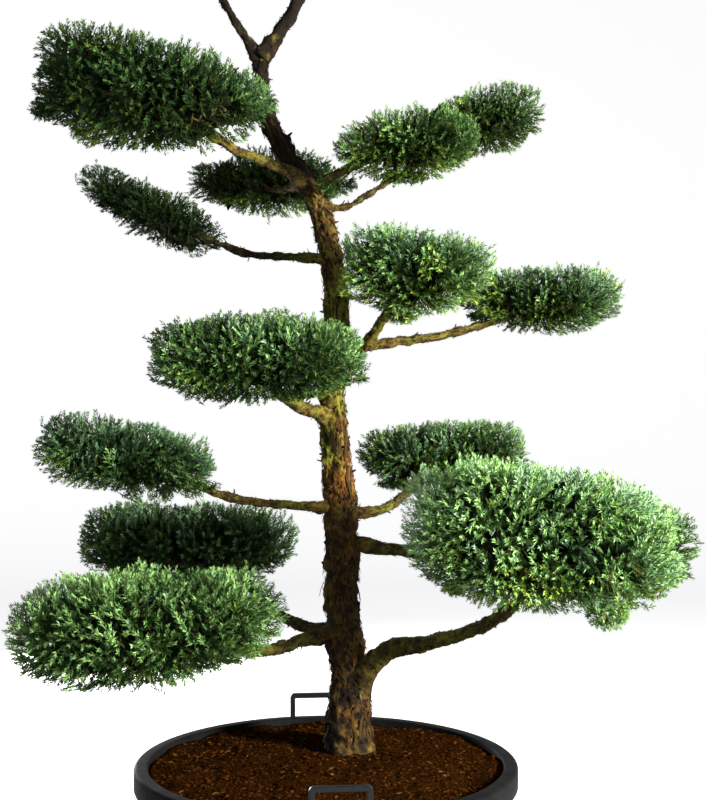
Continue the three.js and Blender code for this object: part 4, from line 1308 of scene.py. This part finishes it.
def make_foliage(limb_spots):
    random = np.random.default_rng(SEEDS.foliage)
    prototypes = {kind: [spray_prototype(random, layer) for _ in range(layer.prototypes)]
                  for kind, layer in LAYERS.items()}
    greens = [principled(f"foliage_{i}", colour, "needles") for i, colour in enumerate(family_colours())]
    wood = [principled(name, colour, name) for name, colour in TWIGS.items()]
    twigs = []
    for name in MASSES:
        sticks, finer, shoot_ends = make_mass(name, prototypes, limb_spots, greens)
        starts, ends, thick, thin = (np.array(values) for values in zip(*sticks))
        twigs.append((*bars(starts, ends, thick, thin, TUFT.main_sides), 0))
        starts, ends = (np.array(values) for values in zip(*finer))
        first, last = (radius * MM for radius in TUFT.twig)
        twigs.append((*bars(starts, ends, first, last, TUFT.twig_sides), 0))
        for sources, roots in shoot_ends:
            side, _ = crosswise(unit(roots - sources))
            shoots = blades(sources, roots, side, np.full(len(roots), TUFT.shoot * MM))
            twigs.append((*repeated(shoots, KITE_FACES), 1))
    joined_piece("twigs", twigs, wood, "bark")


# Pot, handles and soil

def lathe(profile, segments):
    """Vertices and faces of a closed profile of (radius, height) points, in metres, turned about +Z."""
    ends = [[[0, 0, z]] for _, z in (profile[0], profile[-1])]
    return np.vstack([*rings(profile[1:-1], segments), *ends]), tube_faces(len(profile) - 2, segments)


def arc(x, y, radius, start, end, steps):
    """Points of an arc about (x, y), between two angles in degrees."""
    angles = np.radians(np.linspace(start, end, steps))
    return [(x + radius * math.cos(a), y + radius * math.sin(a)) for a in angles]


def pot_profile():
    """Half the pot's section, from the middle of its underside round to the middle of its inner floor."""
    height, base, neck, lip = POT.height, POT.base, POT.neck, POT.lip
    wall, top, fillet, ease = POT.wall, POT.lip_round, POT.fillet, POT.ease
    steps = POT.round_steps
    middle = (base + neck) / 2
    under, lip_foot, below_neck = height - wall, height - POT.lip_drop, neck - POT.neck_in
    hem, hem_centre = POT.hem
    outline = [
        (0, 0), (POT.drain_circle, 0), *arc(base - ease, ease, ease, -90, -POT.draft, steps),
        (middle, under / 2), (below_neck, under - 2 * fillet),
        *arc(below_neck + fillet, under - fillet, fillet, 180, 90, steps)[1:-1],
        (lip - wall - ease, under), (lip - wall, under - ease), (lip - wall, lip_foot + hem),
        *arc(lip - wall / 2, lip_foot + hem_centre, wall / 2, 180, 360, steps),
        (lip, height - POT.lip_drop / 2), *arc(lip - top, height - top, top, 0, 90, POT.lip_steps),
        (neck + ease, height), *arc(neck - wall + ease, height - ease, ease, 90, 180, steps),
        (middle - wall, height / 2), (base - wall, wall), (0, wall),
    ]
    return [(radius * MM, z * MM) for radius, z in outline]


def turned(points, angle):
    x, y, z = points.T
    return np.stack([x * math.cos(angle) - y * math.sin(angle), x * math.sin(angle) + y * math.cos(angle), z],
                    axis=1)


BLOCK_CORNERS = np.array(list(itertools.product((-0.5, 0.5), (-0.5, 0.5), (0, 1))))
BLOCK_FACES = np.array([[0, 1, 3, 2], [4, 6, 7, 5], [0, 4, 5, 1], [2, 3, 7, 6], [0, 2, 6, 4], [1, 5, 7, 3]])


def block(spot, x, y, bottom, size, turn=0.0):
    """A box in a handle's own frame, where +X points away from the pot's axis."""
    corners = turned(BLOCK_CORNERS * size, turn) + [x, y, bottom]
    return turned(corners, spot) * MM, BLOCK_FACES


def combine(piece, cutters, operation):
    """Adds the cutters to the piece, or takes them out of it, and removes them."""
    for cutter in cutters:
        modifier = piece.modifiers.new("cut", "BOOLEAN")
        modifier.operation = operation
        modifier.solver = "EXACT"
        modifier.object = cutter
    evaluated = piece.evaluated_get(bpy.context.evaluated_depsgraph_get())
    mesh = bpy.data.meshes.new_from_object(evaluated)
    piece.modifiers.clear()
    piece.data = mesh
    for cutter in cutters:
        bpy.data.objects.remove(cutter)


def make_pot():
    material = pot_material()
    vertices, faces = lathe(pot_profile(), POT.segments)
    pot = new_object(new_mesh("pot_shell", vertices, faces, [material], smooth=True))

    def cutter(name, shape):
        return new_object(new_mesh(name, *shape, [material]))

    inner, outer, distance = HANDLE.boss_inner, HANDLE.boss_outer, HANDLE.distance
    pocket = HANDLE.bar + 2 * CLEARANCE
    pocket_bottom = POT.height - HANDLE.depth - CLEARANCE
    boss_bottom = pocket_bottom - HANDLE.boss_floor
    boss_size = (outer - inner, HANDLE.boss_width, POT.height - POT.wall / 2 - boss_bottom)
    middle = (outer + inner) / 2
    bosses, holes = [], []
    for spot, side in itertools.product(HANDLE_SPOTS.values(), (-1, 1)):
        angle = side * math.atan2(LEG_OFFSET, distance)
        x, y = middle * math.cos(angle), middle * math.sin(angle)
        bosses.append(cutter("boss", block(spot, x, y, boss_bottom, boss_size, angle)))
        size = (pocket, pocket, POT.height)
        holes.append(cutter("pocket", block(spot, distance, side * LEG_OFFSET, pocket_bottom, size)))
    for i in range(POT.drain_holes):
        angle = i * TURN / POT.drain_holes
        centre = np.array([[math.cos(angle), math.sin(angle), 0]]) * POT.drain_circle * MM
        reach, radius = UP * POT.wall * 2 * MM, POT.drain_radius * MM
        drill = bars(centre - reach, centre + reach, radius, radius, POT.drain_sides)
        holes.append(cutter("drill", drill))
    combine(pot, bosses, "UNION")
    combine(pot, holes, "DIFFERENCE")
    pot.data.shade_smooth()
    pot.data.set_sharp_from_angle(angle=math.radians(POT.sharp))
    places = np.empty(len(pot.data.vertices) * 3, np.float32)
    pot.data.vertices.foreach_get("co", places)
    height = places[2::3]
    dust = smoothstep(*DUST.rim, height) * DUST.rim_share
    give_attribute(pot.data, "dust", dust + (1 - smoothstep(*DUST.foot, height)) * DUST.foot_share)
    declare(pot, "pot_plastic", "pot")


def handle_mesh(name, material):
    """A square bar with its edges eased, bent round twice, from one boss to the other."""
    half, bend, steps = LEG_OFFSET, HANDLE.bend, HANDLE.bend_steps
    bottom = POT.height - HANDLE.depth
    arc_top = POT.height + HANDLE.rise - HANDLE.bar / 2 - bend
    path = [(-half, bottom), (-half, arc_top - HANDLE.straight),
            *arc(-half + bend, arc_top, bend, 180, 90, steps), *arc(half - bend, arc_top, bend, 90, 0, steps),
            (half, arc_top - HANDLE.straight), (half, bottom)]
    points = np.array([(0, y, z) for y, z in path])
    tangents = unit(np.gradient(points, axis=0))
    side = np.cross(tangents, ALONG)
    edge = HANDLE.bar / 2
    eased = edge - HANDLE.chamfer
    section = [(edge, -eased), (edge, eased), (eased, edge), (-eased, edge), (-edge, eased), (-edge, -eased),
               (-eased, -edge), (eased, -edge)]
    sides = np.stack([points + ALONG * a + side * b for a, b in section], axis=1).reshape(-1, 3)
    vertices = np.vstack([sides, points[0], points[-1]])
    vertices = turned(vertices + [HANDLE.distance, 0, 0], HANDLE_SPOTS[name]) * MM
    return new_mesh(f"{name}_bar", vertices, tube_faces(len(points), len(section))[:, ::-1], [material])


def make_handles():
    material = steel_material()
    for name in HANDLE_SPOTS:
        declare(new_object(handle_mesh(name, material)), "handle_steel", name)


def soil_radius(z):
    """The soil's radius against the pot's wall at a height."""
    share = (z - POT.wall) / (POT.height - SOIL.under_rim - POT.wall)
    return POT.base - POT.wall + (POT.neck - POT.base) * share - SOIL.gap


def soil_height(points):
    """The soil's level at (x, y) points in metres: it climbs from the wall to the trunk's foot."""
    edge = soil_radius(SOIL.edge)
    foot_x, foot_y = TRUNK_PATH[0][:2]
    x, y = points.T / MM
    near = np.hypot(x - foot_x, y - foot_y)
    inside = edge - np.hypot(x, y)
    share = np.clip(inside / np.maximum(inside + near - SOIL.patch, 1), 0, 1)
    share = np.where(near < SOIL.patch, 1, share)
    level = SOIL.edge + (SOIL.crown - SOIL.edge) * smoothstep(0, 1, share)
    flat = np.column_stack([points, np.zeros(len(points))])
    rough = sum(height * noise(flat / (grain * MM), seed) for height, grain, seed in SOIL.waves)
    return (level + rough * smoothstep(*SOIL.calm, near)) * MM


def make_soil():
    around, floor = SOIL.around, POT.wall + CLEARANCE
    angles = even_angles(around)
    circle = np.stack([np.cos(angles), np.sin(angles)], axis=1)
    top = [circle * soil_radius(SOIL.edge) * MM * share
           for share in np.linspace(1, SOIL.innermost, SOIL.rings)]
    surface = [np.column_stack([ring, soil_height(ring)]) for ring in top]
    bottom = np.column_stack([circle * soil_radius(floor) * MM, np.full(around, floor * MM)])
    centre = soil_height(np.zeros((1, 2)))[0]
    vertices = np.vstack([bottom, *surface, [[0, 0, floor * MM]], [[0, 0, centre]]])
    faces = tube_faces(SOIL.rings + 1, around)
    mesh = new_mesh("soil_bed", vertices, faces, [soil_material()], smooth=True)
    declare(new_object(mesh), "soil", "soil")


CHIP_CORNERS = np.array([(-1, 0, 0), (1, 0, 0), (0, -1, 0), (0, 1, 0), (0, 0, -1), (0, 0, 1)]) / 2
CHIP_FACES = np.array([(4, 1, 3), (4, 3, 0), (4, 0, 2), (4, 2, 1), (5, 3, 1), (5, 0, 3), (5, 2, 0),
                       (5, 1, 2)])


def make_chips():
    """Shards of bark that lie on the soil, tipped a little."""
    random = np.random.default_rng(SEEDS.chips)
    count = CHIPS.count
    far = np.sqrt(random.random(count)) * (soil_radius(SOIL.edge) - CHIPS.edge_gap) * MM
    angle = random.random(count) * TURN
    place = np.stack([far * np.cos(angle), far * np.sin(angle)], axis=1)
    foot = np.array(TRUNK_PATH[0][:2]) * MM
    trunk_edge = TRUNK_PATH[0][3] * MM
    off = place - foot
    near = np.linalg.norm(off, axis=1, keepdims=True)
    place = np.where(near < trunk_edge, foot + unit(off) * (trunk_edge + near), place)
    length = random.uniform(*CHIPS.length, count) * random.random(count) ** CHIPS.shorter * MM
    width = length * random.uniform(*CHIPS.width, count)
    thick = length * random.uniform(*CHIPS.thick, count)
    heading = random.random(count) * TURN
    dip = random.normal(0, CHIPS.dip, count)
    way = unit(np.stack([np.cos(heading), np.sin(heading), dip], axis=1))
    side, up = crosswise(way)
    roll = random.normal(0, CHIPS.roll, count)[:, None]
    side, up = side * np.cos(roll) + up * np.sin(roll), up * np.cos(roll) - side * np.sin(roll)
    centre = np.column_stack([place, soil_height(place) + thick * CHIPS.rise])
    points = []
    for corner in CHIP_CORNERS:
        shares = corner * random.uniform(*CHIPS.uneven, (count, 3))
        along, across, height = (shares + shaken(random, CHIPS.skew, (count, 3))).T
        points.append(centre + way * (along * length)[:, None] + side * (across * width)[:, None]
                      + up * (height * thick)[:, None])
    vertices, faces = repeated(np.stack(points, axis=1), CHIP_FACES)
    browns = [principled(f"chip_{i}", colour, "chip") for i, colour in enumerate(CHIP_BROWNS)]
    numbers = np.repeat(random.choice(len(browns), count, p=CHIP_SHARES), len(CHIP_FACES))
    joined_piece("soil_chips", [(vertices, faces, numbers)], browns, "soil")


# The plant in its pot

make_camera()
make_stage()
make_lights()
make_pot()
make_handles()
make_soil()
make_chips()

bark = bark_material()
limbs = {"trunk": make_trunk(bark)}
for name, path in BOUGHS.items():
    limbs[name] = make_bough(name, path, bark)
make_bark_scraps(limbs)

curves = [limb_curve(path, int(limb_length(path) / SPOT_STEP) + 1) for path in (TRUNK_PATH, *BOUGHS.values())]
make_foliage((np.vstack([curve[0] for curve in curves]), np.concatenate([curve[1] for curve in curves])))
